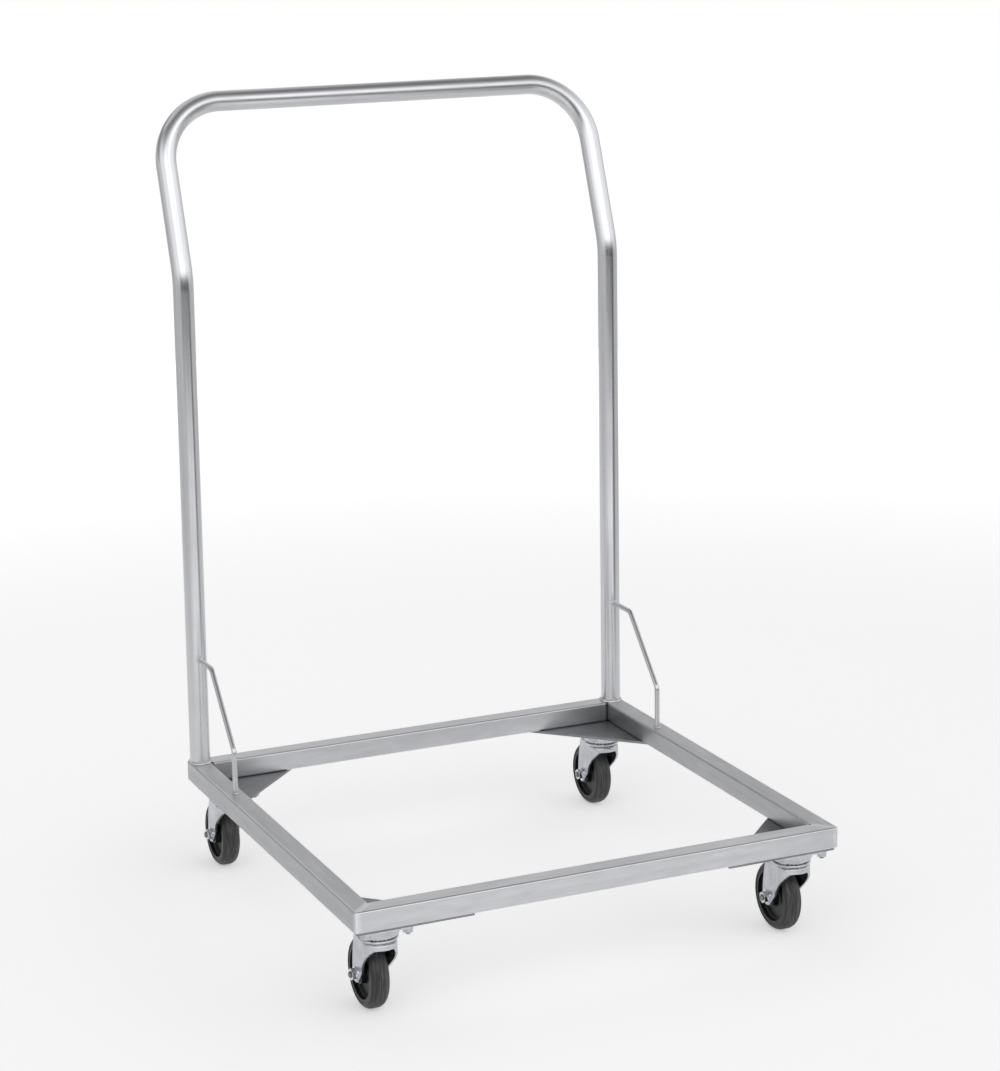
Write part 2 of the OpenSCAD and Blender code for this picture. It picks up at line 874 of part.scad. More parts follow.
// Hub, web and rim in one piece
module wheel_core(side, end) {
  hub_r = hub_d / 2;
  pocket_r = rim_r - rim_ring;
  fillet = 2.5;
  color(black)
    at_caster(side, end)
      at_axle()
        rotate_extrude()
          difference() {
            union() {
              rim_outline();
              translate([0, -hub_len / 2])
                square([hub_r, hub_len]);
            }
            translate([-1, -hub_len])
              square([1 + sleeve_r + wheel_fit, 2 * hub_len]);
            // Pocket on each side, with round inner corners
            for (face = [-1, 1])
              mirror([0, face < 0 ? 1 : 0]) {
                translate([hub_r, web_t / 2 + fillet])
                  square([pocket_r - hub_r, rim_w]);
                translate([hub_r + fillet, web_t / 2])
                  square([pocket_r - hub_r - 2 * fillet, rim_w]);
                for (r = [hub_r + fillet, pocket_r - fillet])
                  translate([r, web_t / 2 + fillet])
                    circle(fillet);
              }
          }
}

// Tread band, keyed to the rim
module tyre(side, end) {
  color(rubber)
    at_caster(side, end)
      at_axle()
        rotate_extrude()
          difference() {
            intersection() {
              translate([0, -tyre_w / 2])
                square([wheel_r, tyre_w]);
              union() {
                translate([0, -tread_flat])
                  square([wheel_r, 2 * tread_flat]);
                translate([0, -tyre_w / 2])
                  square([wheel_r - shoulder_r, tyre_w]);
                for (face = [-1, 1])
                  translate([wheel_r - shoulder_r, face * tread_flat])
                    circle(shoulder_r);
              }
            }
            rim_outline();
            // The side of the rim stays in view
            for (face = [-1, 1])
              translate([0, face > 0 ? rim_w / 2 - 0.01 : -tyre_w])
                square([rim_r, tyre_w - rim_w / 2 + 0.01]);
          }
}

front_rail();
rear_rail();
left_rail();
right_rail();
gusset(LEFT, FRONT);  // front_left_gusset
gusset(RIGHT, FRONT);  // front_right_gusset
gusset(LEFT, REAR);  // rear_left_gusset
gusset(RIGHT, REAR);  // rear_right_gusset
handle_tube();
handle_welds();
brace_rod(LEFT);  // left_brace_rod
brace_rod(RIGHT);  // right_brace_rod
brace_welds();
plate_studs();
plate_nuts();
caster_plate(LEFT, FRONT);  // front_left_caster_plate
king_rivet(LEFT, FRONT);  // front_left_king_rivet
lower_race(LEFT, FRONT);  // front_left_lower_race
balls(LEFT, FRONT);  // front_left_balls
race_ring(LEFT, FRONT);  // front_left_race_ring
fork(LEFT, FRONT);  // front_left_fork
axle_bolt(LEFT, FRONT);  // front_left_axle_bolt
axle_nut(LEFT, FRONT);  // front_left_axle_nut
axle_sleeve(LEFT, FRONT);  // front_left_axle_sleeve
wheel_core(LEFT, FRONT);  // front_left_wheel_core
tyre(LEFT, FRONT);  // front_left_tyre
caster_plate(RIGHT, FRONT);  // front_right_caster_plate
king_rivet(RIGHT, FRONT);  // front_right_king_rivet
lower_race(RIGHT, FRONT);  // front_right_lower_race
balls(RIGHT, FRONT);  // front_right_balls
race_ring(RIGHT, FRONT);  // front_right_race_ring
fork(RIGHT, FRONT);  // front_right_fork
axle_bolt(RIGHT, FRONT);  // front_right_axle_bolt
axle_nut(RIGHT, FRONT);  // front_right_axle_nut
axle_sleeve(RIGHT, FRONT);  // front_right_axle_sleeve
wheel_core(RIGHT, FRONT);  // front_right_wheel_core
tyre(RIGHT, FRONT);  // front_right_tyre
caster_plate(LEFT, REAR);  // rear_left_caster_plate
king_rivet(LEFT, REAR);  // rear_left_king_rivet
lower_race(LEFT, REAR);  // rear_left_lower_race
balls(LEFT, REAR);  // rear_left_balls
race_ring(LEFT, REAR);  // rear_left_race_ring
fork(LEFT, REAR);  // rear_left_fork
axle_bolt(LEFT, REAR);  // rear_left_axle_bolt
axle_nut(LEFT, REAR);  // rear_left_axle_nut
axle_sleeve(LEFT, REAR);  // rear_left_axle_sleeve
wheel_core(LEFT, REAR);  // rear_left_wheel_core
tyre(LEFT, REAR);  // rear_left_tyre
caster_plate(RIGHT, REAR);  // rear_right_caster_plate
king_rivet(RIGHT, REAR);  // rear_right_king_rivet
lower_race(RIGHT, REAR);  // rear_right_lower_race
balls(RIGHT, REAR);  // rear_right_balls
race_ring(RIGHT, REAR);  // rear_right_race_ring
fork(RIGHT, REAR);  // rear_right_fork
axle_bolt(RIGHT, REAR);  // rear_right_axle_bolt
axle_nut(RIGHT, REAR);  // rear_right_axle_nut
axle_sleeve(RIGHT, REAR);  // rear_right_axle_sleeve
wheel_core(RIGHT, REAR);  // rear_right_wheel_core
tyre(RIGHT, REAR);  // rear_right_tyre
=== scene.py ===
"""Dresses the rack dolly: brushed and zinc plated finishes, the swept handle and brace rods, rippled
weld beads, threads, the camera and the stage. Lengths are in metres, in the model's own frame."""

import math

import bmesh
import bpy
import numpy as np
from bpy.props import FloatProperty, FloatVectorProperty, IntProperty, PointerProperty
from mathutils import Matrix, Vector


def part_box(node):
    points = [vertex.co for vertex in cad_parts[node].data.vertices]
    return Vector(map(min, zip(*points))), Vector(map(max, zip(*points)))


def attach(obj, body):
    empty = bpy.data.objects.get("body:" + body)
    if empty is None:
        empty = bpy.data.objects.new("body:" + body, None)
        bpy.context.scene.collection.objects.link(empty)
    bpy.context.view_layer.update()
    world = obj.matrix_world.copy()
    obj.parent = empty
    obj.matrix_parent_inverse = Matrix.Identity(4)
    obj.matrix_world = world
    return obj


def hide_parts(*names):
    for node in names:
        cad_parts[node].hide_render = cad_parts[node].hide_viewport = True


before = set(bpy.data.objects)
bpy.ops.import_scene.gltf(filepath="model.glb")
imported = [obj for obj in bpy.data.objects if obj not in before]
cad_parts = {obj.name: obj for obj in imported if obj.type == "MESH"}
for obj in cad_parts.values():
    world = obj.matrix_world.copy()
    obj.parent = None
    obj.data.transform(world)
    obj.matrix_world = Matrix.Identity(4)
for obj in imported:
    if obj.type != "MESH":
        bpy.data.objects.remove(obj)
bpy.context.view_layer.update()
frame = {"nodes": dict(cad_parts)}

bl_info = {
    "name": "Rack Dolly",
    "version": (1, 0, 0),
    "blender": (4, 5, 0),
    "location": "3D View > Sidebar > Rack Dolly",
    "description": "Finishes, welds, threads, camera and stage of a rack dolly",
    "category": "Add Mesh",
}

CORNERS = ("front_left", "front_right", "rear_left", "rear_right")
BASE = "base_and_handle"


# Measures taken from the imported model

FRONT_LOW, FRONT_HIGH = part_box("front_rail")
REAR_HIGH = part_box("rear_rail")[1]
HALF_WIDTH = FRONT_HIGH.x
DECK = FRONT_HIGH.z
TUBE = FRONT_HIGH.z - FRONT_LOW.z
MIDDLE_Y = (FRONT_LOW.y + REAR_HIGH.y) / 2
HALF_DEPTH = (REAR_HIGH.y - FRONT_LOW.y) / 2


# Fixed measures

SKIN = 0.0002  # a bead stays this far inside the frame's faces, and a rod's end goes this far into the upright
HOLE_X, HOLE_Y = 0.0254, 0.027  # from the middle of a caster's plate to its holes
CHAMFER = 0.12  # a screw's chamfer at its tip, over its diameter
GROOVE = 0.54  # depth of a thread's groove, over its pitch
SHARP = math.radians(35)  # an edge that turns further than this is shown sharp
SENSOR = 36  # millimetres, for the long side of the picture
LONG_SIDE = 1071  # pixels, of the photograph in which the camera was measured
CORNER_SHADE_REACH = 0.085  # from an inner corner of the frame to where its welds' heat no longer shows
SEAM = 0.002  # from an inner corner of the frame to where its painted shade ends
EDGE_WEAR_AND_HIGHLIGHT = 0.0022  # width of a rail's rubbed edges, which are partly a painted highlight
GRIP = 0.93, 0.968  # heights between which hands have dulled the handle
TREAD_LINES = 0.0011  # from one turned line of a tread to the next
FOOT_RIPPLES, ROD_RIPPLES = 44, 14  # ripples of a weld bead, once round
HEAD_HEIGHTS = 0, 0.25, 0.5, 0.7, 0.8, 0.9, 1  # rings of a bolt's head, over its height


# Settings

def colour_setting(name, description, default):
    """A colour."""
    return FloatVectorProperty(name=name, description=description, default=default, min=0, max=1, size=3,
                               subtype="COLOR")


def length_setting(name, description, default, low, high, precision=4):
    """A length in metres, with its limits."""
    return FloatProperty(name=name, description=description, default=default, min=low, max=high, unit="LENGTH",
                         precision=precision)


def share_setting(name, description, default, low=0, high=1):
    """A roughness or brightness, with its limits."""
    return FloatProperty(name=name, description=description, default=default, min=low, max=high, subtype="FACTOR")


def angle_setting(name, description, default, low=-math.pi, high=math.pi):
    """An angle in radians, with its limits."""
    return FloatProperty(name=name, description=description, default=default, min=low, max=high, subtype="ANGLE",
                         unit="ROTATION", precision=5)


def power_setting(name, description, default):
    """A lamp's power in watts."""
    return FloatProperty(name=name, description=description, default=default, min=0, max=500, unit="POWER")


class DollyFrameSettings(bpy.types.PropertyGroup):
    steel: colour_setting("Steel", "Colour of the brushed stainless steel", (0.585, 0.59, 0.605))
    roughness: share_setting("Roughness", "Roughness of the brushed faces", 0.34, 0.05)
    grain_depth: length_setting("Grain Depth", "Depth of the brush lines", 0.00002, 0, 0.001, 6)
    ground_width: length_setting("Ground Width", "Width of the ground band over each mitre weld", 0.011, 0.001, 0.05)
    plate: colour_setting("Gusset Steel", "Colour of the plain rolled gussets", (0.29, 0.295, 0.305))


class DollyHandleSettings(bpy.types.PropertyGroup):
    upright_inset: length_setting("Upright Inset", "Upright's centre line, in from the frame's faces",
                                  0.0127, 0.012, 0.018)
    upright: length_setting("Upright", "Straight height of the uprights above the deck", 0.604, 0.4, 0.8)
    lean: angle_setting("Lean", "Angle at which the upper part leans back", math.radians(20.5), 0.14, 0.61)
    lean_bend: length_setting("Lean Bend", "Centre line radius of the bend below the leaning part", 0.089, 0.06, 0.15)
    lean_length: length_setting("Leaning Length", "From that bend to the top bar's centre line", 0.205, 0.17, 0.3)
    corner_bend: length_setting("Corner Bend", "Centre line radius of the two top corners", 0.079, 0.06, 0.12)
    tube: length_setting("Tube", "Outer diameter of the handle tube", 0.0254, 0.02, 0.032)
    wall: length_setting("Wall", "Wall of the handle tube", 0.00165, 0.0012, 0.003, 5)
    sides: IntProperty(name="Sides", description="Sides of the swept tube's section", default=64, min=12, max=128)
    foot_bead: length_setting("Foot Bead", "Leg of the weld bead round each foot", 0.0028, 0.001, 0.004)
    steel: colour_setting("Steel", "Colour of the satin tube", (0.66, 0.665, 0.68))
    roughness: share_setting("Roughness", "Roughness of the satin tube", 0.21, 0.05)


class DollyRodSettings(bpy.types.PropertyGroup):
    rod: length_setting("Rod", "Diameter of the brace rod", 0.00635, 0.005, 0.01, 5)
    top: length_setting("Top", "Height above the deck at which the rod meets the upright", 0.137, 0.11, 0.18)
    upper: length_setting("Upper Bend", "Distance from the upright to the upper bend", 0.0594, 0.045, 0.08)
    foot: length_setting("Foot", "Distance from the upright to the rod's foot", 0.1364, 0.115, 0.18)
    knee: length_setting("Lower Bend", "Height of the lower bend above the deck", 0.053, 0.03, 0.07)
    bend: length_setting("Bend Radius", "Centre line radius of the rod's bends", 0.012, 0.008, 0.02)
    bead: length_setting("Bead", "Leg of the weld bead at each end", 0.0018, 0.001, 0.003)


class DollyCasterSettings(bpy.types.PropertyGroup):
    zinc: colour_setting("Zinc", "Colour of the zinc plated pressings", (0.62, 0.635, 0.66))
    roughness: share_setting("Roughness", "Roughness of the zinc plating", 0.25, 0.05)
    stud: length_setting("Stud", "Diameter of the plate studs", 0.00635, 0.005, 0.007, 5)
    pitch: length_setting("Stud Pitch", "Pitch of the studs' thread", 0.00127, 0.0005, 0.002, 5)
    axle: length_setting("Axle", "Diameter of the axle bolt", 0.00794, 0.006, 0.009, 5)
    axle_flats: length_setting("Axle Flats", "Width of the bolt's head across its flats", 0.0127, 0.011, 0.014)
    axle_head: length_setting("Axle Head", "Height of the bolt's head", 0.0052, 0.004, 0.006)
    axle_pitch: length_setting("Axle Pitch", "Pitch of the bolt's thread", 0.00141, 0.0008, 0.002, 5)
    axle_thread: length_setting("Axle Thread", "Length of the bolt's thread", 0.0125, 0.005, 0.03)
    tip: colour_setting("Thread Ends", "Colour of the dull ends of studs and bolts", (0.24, 0.245, 0.25))


class DollyWheelSettings(bpy.types.PropertyGroup):
    rubber: colour_setting("Rubber", "Colour of the tyre", (0.019, 0.019, 0.020))
    plastic: colour_setting("Plastic", "Colour of the wheel's core", (0.006, 0.006, 0.0063))
    dust: colour_setting("Dust", "Colour of the dust on the tread", (0.10, 0.10, 0.10))


class DollyStageSettings(bpy.types.PropertyGroup):
    floor: colour_setting("Floor", "Colour of the floor", (0.84, 0.84, 0.845))
    radius: length_setting("Floor Radius", "Radius of the floor", 3.78, 2, 20)
    lift: share_setting("Floor Lift", "Brightness added to the floor that the camera sees", 0.37)
    far: share_setting("Far Lift", "More brightness added towards the floor's edge", 0.30)
    shine: share_setting("Floor In Metal", "Brightness added to the floor that metal reflects in front", 0.38)
    sky: share_setting("Room", "Brightness of the room round the stage", 0.92, 0, 2)
    front: power_setting("Front Light", "Power of the wide lamp in front", 20)
    back: power_setting("Back Light", "Power of the lamp above the back", 12)


class DollyCameraSettings(bpy.types.PropertyGroup):
    place: FloatVectorProperty(name="Place", description="Where the camera stands",
                               default=(-1.34965, -3.06904, 1.29034), size=3, unit="LENGTH", precision=5)
    yaw: angle_setting("Yaw", "Turn from looking straight to the back", -0.42141)
    pitch: angle_setting("Pitch", "How far it looks down", 0.18780)
    roll: angle_setting("Roll", "Lean of the picture", 0.01499)
    focal: FloatProperty(name="Focal Length", description="Focal length on a 36 mm long side",
                         default=2843.4 * SENSOR / LONG_SIDE, min=10, max=400, unit="CAMERA")
    shift: FloatProperty(name="Shift", description="Upward shift of the picture, over its long side",
                         default=-160.5 / LONG_SIDE, min=-0.2, max=0.2, precision=5)


class DollySettings(bpy.types.PropertyGroup):
    frame: PointerProperty(type=DollyFrameSettings)
    handle: PointerProperty(type=DollyHandleSettings)
    rods: PointerProperty(type=DollyRodSettings)
    casters: PointerProperty(type=DollyCasterSettings)
    wheels: PointerProperty(type=DollyWheelSettings)
    stage: PointerProperty(type=DollyStageSettings)
    camera: PointerProperty(type=DollyCameraSettings)


# Meshes

def full_turn(count):
    """Equal steps of a full turn, from 0."""
    return np.linspace(0, 2 * math.pi, count, endpoint=False)


def round_points(r, a, z):
    """Points r cos(a), r sin(a), z of arrays that broadcast to one shape."""
    return np.stack(np.broadcast_arrays(r * np.cos(a), r * np.sin(a), z), axis=-1)


def grid_mesh(name, points, ends_meet, unbent):
    """Mesh of a grid of points, shape (rings, sides, 3), whose sides close on themselves.

    Corner (i, j) joins (i, j + 1), (i + 1, j + 1) and (i + 1, j). The last ring meets the first
    where ends_meet is true, and otherwise the two end rings are closed by one flat face each.
    The array unbent, if there is one, has the same shape and is kept as an attribute of the points.
    """
    rings, sides = points.shape[:2]
    along = np.arange(rings if ends_meet else rings - 1)[:, None]
    around = np.arange(sides)[None, :]
    after, beside = (along + 1) % rings, (around + 1) % sides
    quads = np.stack([along * sides + around, along * sides + beside,
                      after * sides + beside, after * sides + around], axis=-1).reshape(-1, 4)
    faces = quads.tolist()
    if not ends_meet:
        first, last = np.arange(sides)[::-1], np.arange(sides) + (rings - 1) * sides
        faces += [first.tolist(), last.tolist()]
    mesh = bpy.data.meshes.new(name)
    mesh.from_pydata(points.reshape(-1, 3).tolist(), [], faces)
    if unbent is not None:
        kept = mesh.attributes.new("unbent", "FLOAT_VECTOR", "POINT")
        kept.data.foreach_set("vector", np.ascontiguousarray(unbent, np.float32).ravel())
    mesh.update()
    return mesh


def outward(mesh):
    """Turns the faces outwards, if the signed volume says that they point inwards."""
    mesh.calc_loop_triangles()
    corners = np.empty(len(mesh.loop_triangles) * 3, np.int32)
    mesh.loop_triangles.foreach_get("vertices", corners)
    places = np.empty(len(mesh.vertices) * 3)
    mesh.vertices.foreach_get("co", places)
    a, b, c = places.reshape(-1, 3)[corners.reshape(-1, 3)].transpose(1, 0, 2)
    if np.einsum("ij,ij->i", a, np.cross(b, c)).sum() < 0:
        mesh.flip_normals()
    return mesh


def closed_mesh(name, grids, ends_meet):
    """One mesh of several closed grids, each given as its points and its unbent array or None."""
    whole = bmesh.new()
    for points, unbent in grids:
        piece = outward(grid_mesh(name, points, ends_meet, unbent))
        whole.from_mesh(piece)
        bpy.data.meshes.remove(piece)
    if not all(edge.is_manifold for edge in whole.edges):
        raise RuntimeError(name + " isn't closed")
    mesh = bpy.data.meshes.new(name)
    whole.to_mesh(mesh)
    whole.free()
    mesh.shade_smooth()
    mesh.set_sharp_from_angle(angle=SHARP)
    return mesh


def place_piece(name, grids, ends_meet, material, body, slot, *nodes):
    """Makes one piece of its grids and puts it in the scene, in place of the CAD nodes that it stands for."""
    mesh = closed_mesh(name, grids, ends_meet)
    mesh.materials.append(material)
    piece = bpy.data.objects.new(name, mesh)
    bpy.context.scene.collection.objects.link(piece)
    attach(piece, body)
    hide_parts(*nodes)


def arc(centre, start, normal, angle, count):
    """Points and directions of an arc: centre + cos(a) start + sin(a) (normal x start)."""
    a = np.linspace(0, angle, count)[1:, None]
    start, normal = np.asarray(start, float), np.asarray(normal, float)
    side = np.cross(normal, start)
    radius = np.linalg.norm(start)
    return centre + np.cos(a) * start + np.sin(a) * side, (np.cos(a) * side - np.sin(a) * start) / radius


def line(start, end, count):
    """Points and directions of a straight stretch, without its first point."""
    t = np.linspace(0, 1, count + 1)[1:, None]
    start, end = np.asarray(start, float), np.asarray(end, float)
    way = (end - start) / np.linalg.norm(end - start)
    return start + t * (end - start), np.repeat(way[None], count, 0)


def sweep(path, way, normal, radius, sides):
    """Rings round a path: point + radius (cos(a) normal + sin(a) (way x normal)).

    Also gives each ring point's place on the same bar before it was bent, with its length along Z.
    """
    a = full_turn(sides)[None]
    side = np.cross(way, normal)
    ring = np.cos(a)[..., None] * normal[:, None] + np.sin(a)[..., None] * side[:, None]
    length = np.concatenate([[0], np.cumsum(np.linalg.norm(np.diff(path, axis=0), axis=1))])
    return path[:, None] + radius * ring, round_points(radius, a, length[:, None])


# Shader nodes

class Finish:
    """A material under construction. Its methods add nodes, and take numbers or other nodes' outputs."""
    kind, coordinates = "materials", "Object"

    def __init__(self, name):
        self.material = getattr(bpy.data, self.kind).new(name)
        self.material.use_nodes = True
        self.tree = self.material.node_tree
        self.tree.nodes.clear()
        self.place = self.add("ShaderNodeTexCoord").outputs[self.coordinates]

    def add(self, kind, **settings):
        node = self.tree.nodes.new(kind)
        for key, value in settings.items():
            setattr(node, key, value)
        return node

    def feed(self, socket, value):
        """Links an output to a socket, or sets the socket to a number or a colour."""
        if isinstance(value, bpy.types.NodeSocket):
            self.tree.links.new(value, socket)
        else:
            socket.default_value = (*value, 1) if isinstance(value, tuple) else value

    def math(self, operation, a, b=0.0):
        node = self.add("ShaderNodeMath", operation=operation)
        self.feed(node.inputs[0], a)
        self.feed(node.inputs[1], b)
        return node.outputs[0]

    def plus(self, a, b):
        return self.math("ADD", a, b)

    def minus(self, a, b):
        return self.math("SUBTRACT", a, b)

    def times(self, a, b):
        return self.math("MULTIPLY", a, b)

    def size(self, a):
        return self.math("ABSOLUTE", a)

    def distance(self, a, b):
        """Square root of a a + b b."""
        return self.math("SQRT", self.plus(self.times(a, a), self.times(b, b)))

    def axes(self, vector):
        node = self.add("ShaderNodeSeparateXYZ")
        self.feed(node.inputs[0], vector)
        return node.outputs

    def noise(self, vector, scale=1.0, detail=2.0, rough=0.5):
        """Noise with one scale, or with a scale for each axis."""
        if isinstance(scale, tuple):
            stretched = self.add("ShaderNodeMapping")
            self.feed(stretched.inputs["Vector"], vector)
            stretched.inputs["Scale"].default_value = scale
            vector, scale = stretched.outputs[0], 1.0
        node = self.add("ShaderNodeTexNoise")
        self.feed(node.inputs["Vector"], vector)
        for socket, number in (("Scale", scale), ("Detail", detail), ("Roughness", rough)):
            node.inputs[socket].default_value = number
        return node.outputs[0]

    def ranged(self, value, low, high, to_low=0.0, to_high=1.0):
        """Straight line from to_low, where the value is low, to to_high, where it is high."""
        node = self.add("ShaderNodeMapRange")
        self.feed(node.inputs["Value"], value)
        for socket, number in zip(("From Min", "From Max", "To Min", "To Max"), (low, high, to_low, to_high)):
            node.inputs[socket].default_value = number
        return node.outputs[0]

    def smooth(self, value, low, high, to_low=0.0, to_high=1.0):
        """The same with soft ends."""
        result = self.ranged(value, low, high, to_low, to_high)
        result.node.interpolation_type = "SMOOTHSTEP"
        return result

    def varied(self, noise, least, most):
        """A value that follows a noise, which lies mostly between 0.3 and 0.7."""
        return self.ranged(noise, 0.3, 0.7, least, most)

    def blend(self, factor, a, b):
        """Mix of two colours."""
        node = self.add("ShaderNodeMix", data_type="RGBA")
        for index, value in ((0, factor), (6, a), (7, b)):
            self.feed(node.inputs[index], value)
        return node.outputs[2]

    def between(self, factor, a, b):
        """Mix of two numbers."""
        node = self.add("ShaderNodeMix", data_type="FLOAT")
        for index, value in ((0, factor), (2, a), (3, b)):
            self.feed(node.inputs[index], value)
        return node.outputs[0]

    def shades(self, noise, colour, dark, light, low=0.3, high=0.7):
        """The colour times dark where a noise is low, and times light where it is high."""
        return self.blend(self.ranged(noise, low, high), tint(colour, dark), tint(colour, light))

    def patches(self, under, noise, low, high, most, colour):
        """The colour over another one, up to the share most, in patches where a noise is above low."""
        return self.blend(self.ranged(noise, low, high, 0, most), under, colour)

    def surface(self, colour, rough, height=None, depth=0.0, strength=0.5, metallic=1.0):
        """Ends the material with its colour, its roughness and a bump of a depth in metres."""
        shader = self.add("ShaderNodeBsdfPrincipled")
        self.feed(shader.inputs["Base Color"], colour)
        self.feed(shader.inputs["Roughness"], rough)
        shader.inputs["Metallic"].default_value = metallic
        if height is not None:
            bump = self.add("ShaderNodeBump")
            bump.inputs["Strength"].default_value = strength
            bump.inputs["Distance"].default_value = depth
            self.feed(bump.inputs["Height"], height)
            self.feed(shader.inputs["Normal"], bump.outputs[0])
        self.feed(self.add("ShaderNodeOutputMaterial").inputs[0], shader.outputs[0])
        return self.material


class Room(Finish):
    """The same for the world, whose place is the direction looked in."""
    kind, coordinates = "worlds", "Generated"


def tint(colour, factor):
    """The colour, darker or lighter by a factor."""
    return tuple(min(1.0, float(c) * factor) for c in colour)


def dress(node, material):
    """Gives a CAD node its finish."""
    mesh = frame["nodes"][node].data
    if not mesh.materials:
        mesh.materials.append(material)
    for index in range(len(mesh.materials)):
        mesh.materials[index] = material


def brushed_steel(name, settings, along_x):
    """Square tube, brushed along its length: a ground band across each mitre weld, painted shade in the inner corners
    with a dark seam, and rubbed edges that are partly a painted highlight."""
    f = Finish(name)
    # Painted light and shade: the same steel is painted lighter on the front and rear rails and darker on the side
    # rails, their edges too.
    steel = tint(settings.steel, 1.10 if along_x else 0.86)
    edge_steel = tint(settings.steel, 1.4 if along_x else 1.1)

    def grain(along, across, detail=2.0, rough=0.5):
        scale = (along, across, across) if along_x else (across, along, across)
        return f.noise(f.place, scale, detail, rough)

    lines, streaks, mottle = grain(9, 900, 3, 0.6), grain(2.2, 120), grain(26, 130, 4, 0.6)
    clouds = f.noise(f.place, 9, 3, 0.55)
    scratch = f.noise(f.place, (700, 700, 60))

    # Distances from the frame's sides and ends, of which the mitre lies where they are equal
    x, y, z = f.axes(f.place)
    from_side = f.minus(HALF_WIDTH, f.size(x))
    from_end = f.minus(HALF_DEPTH, f.size(f.minus(y, MIDDLE_Y)))
    nearer, farther = f.math("MINIMUM", from_side, from_end), f.math("MAXIMUM", from_side, from_end)
    wobble = f.plus(f.times(f.noise(f.place, 160), 0.006), f.size(f.minus(from_side, from_end)))

    outer_faces = f.math("LESS_THAN", nearer, TUBE - 0.0005)
    band = f.smooth(wobble, settings.ground_width * 0.5, settings.ground_width, 1, 0)
    ground = f.times(band, outer_faces)
    # Painted shade: the inner faces are painted darker towards each inner corner, where shade falls.
    painted_corner_shade = f.times(f.minus(1.0, outer_faces), f.smooth(farther, TUBE, TUBE + CORNER_SHADE_REACH, 0.62, 0))
    in_corner = f.math("GREATER_THAN", nearer, TUBE - 0.003)
    seam = f.times(in_corner, f.smooth(farther, TUBE + 0.4 * SEAM, TUBE + SEAM, 1, 0))
    beside = f.math("PINGPONG", from_end if along_x else from_side, TUBE / 2)
    below = f.math("PINGPONG", f.minus(DECK, z), TUBE / 2)
    edge = f.math("MINIMUM", farther, f.math("MAXIMUM", below, beside))
    # Rubbed edges, partly wear and partly a painted highlight: the edges are painted lighter.
    lightened = f.times(f.smooth(edge, 0.0007, EDGE_WEAR_AND_HIGHLIGHT, 1, 0), f.varied(clouds, 0.55, 1.0))

    body = f.shades(streaks, steel, 0.93, 1.05)
    body = f.patches(body, mottle, 0.35, 0.7, 0.7, tint(steel, 0.80))
    body = f.patches(body, clouds, 0.35, 0.7, 0.5, tint(steel, 0.9))
    body = f.blend(f.times(ground, 0.6), body, tint(settings.steel, 1.35))
    body = f.blend(lightened, body, edge_steel)
    # painted shade in the inner corners
    body = f.blend(painted_corner_shade, body, tint(settings.steel, 0.42))
    body = f.blend(seam, body, tint(settings.steel, 0.2))
    cloudy = f.varied(clouds, settings.roughness - 0.03, settings.roughness + 0.05)
    rough = f.plus(f.varied(lines, -0.07, 0.09), cloudy)
    rough = f.between(ground, rough, f.varied(scratch, 0.3, 0.5))
    rough = f.between(lightened, rough, 0.26)
    height = f.between(ground, f.plus(lines, f.times(streaks, 0.6)), scratch)
    return f.surface(body, rough, height, settings.grain_depth, 0.7)


def rolled_steel(name, settings):
    """Plain rolled plate: mottled, with faint scratches from side to side."""
    f = Finish(name)
    mottle = f.noise(f.place, 60, 5, 0.6)
    clouds = f.noise(f.place, 14, 3)
    scratch = f.noise(f.place, (30, 700, 30))
    colour = f.shades(mottle, settings.plate, 0.78, 1.12)
    colour = f.patches(colour, clouds, 0.4, 0.7, 0.5, tint(settings.plate, 0.7))
    return f.surface(colour, f.varied(mottle, 0.36, 0.52), f.plus(mottle, f.times(scratch, 0.5)), 0.00003, 0.6)


def satin_bar(name, colour, roughness, fine=1100.0):
    """Drawn round bar or tube, polished along its length, by its place before it was bent.

    It is duller towards the height at which hands hold the bar.
    """
    f = Finish(name)
    straight = f.add("ShaderNodeAttribute", attribute_name="unbent").outputs["Vector"]
    lines = f.noise(straight, (fine, fine, 14), 3, 0.6)
    streaks = f.noise(straight, (170, 170, 2.5))
    clouds = f.noise(f.place, 12, 3, 0.55)
    body = f.shades(streaks, colour, 0.90, 1.07)
    body = f.patches(body, clouds, 0.4, 0.75, 0.45, tint(colour, 0.88))
    rough = f.plus(f.varied(lines, -0.03, 0.04), f.varied(clouds, roughness - 0.02, roughness + 0.05))
    gripped = f.smooth(f.axes(f.place)[2], *GRIP, 0, 0.10)
    return f.surface(body, f.plus(rough, gripped), f.plus(lines, f.times(streaks, 0.7)), 0.000009, 0.7)


def weld_metal(name):
    """Bright bead with fine freezing lines and a faint straw tint."""
    f = Finish(name)
    spots = f.noise(f.place, 900, 3)
    bright, straw, burnt = (0.74, 0.74, 0.75), (0.60, 0.595, 0.58), (0.30, 0.29, 0.28)
    colour = f.blend(f.ranged(f.noise(f.place, 120), 0.35, 0.65), bright, straw)
    colour = f.patches(colour, spots, 0.55, 0.75, 0.6, burnt)
    return f.surface(colour, f.varied(spots, 0.22, 0.42), spots, 0.00004)


def zinc_plate(name, settings, shade=1.0, duller=0.0):
    """Bright zinc: faint spangle, drawn scratches and a dull film in patches.

    The shade multiplies its colour, and is used for painted highlight and painted shade on some parts;
    duller is added to its roughness.
    """
    f = Finish(name)
    grain = f.noise(f.place, 480, 3, 0.6)
    clouds = f.noise(f.place, 55, 3, 0.6)
    drawn = f.noise(f.place, (500, 500, 40))
    colour = f.shades(clouds, settings.zinc, 0.82 * shade, 1.10 * shade, 0.35, 0.68)
    colour = f.patches(colour, grain, 0.58, 0.8, 0.5, tint(settings.zinc, 0.62 * shade))
    film = f.varied(clouds, settings.roughness - 0.06, settings.roughness + 0.10)
    rough = f.plus(film, f.varied(grain, duller - 0.03, duller + 0.05))
    return f.surface(colour, rough, f.plus(f.times(grain, 0.6), drawn), 0.00003, 0.6)


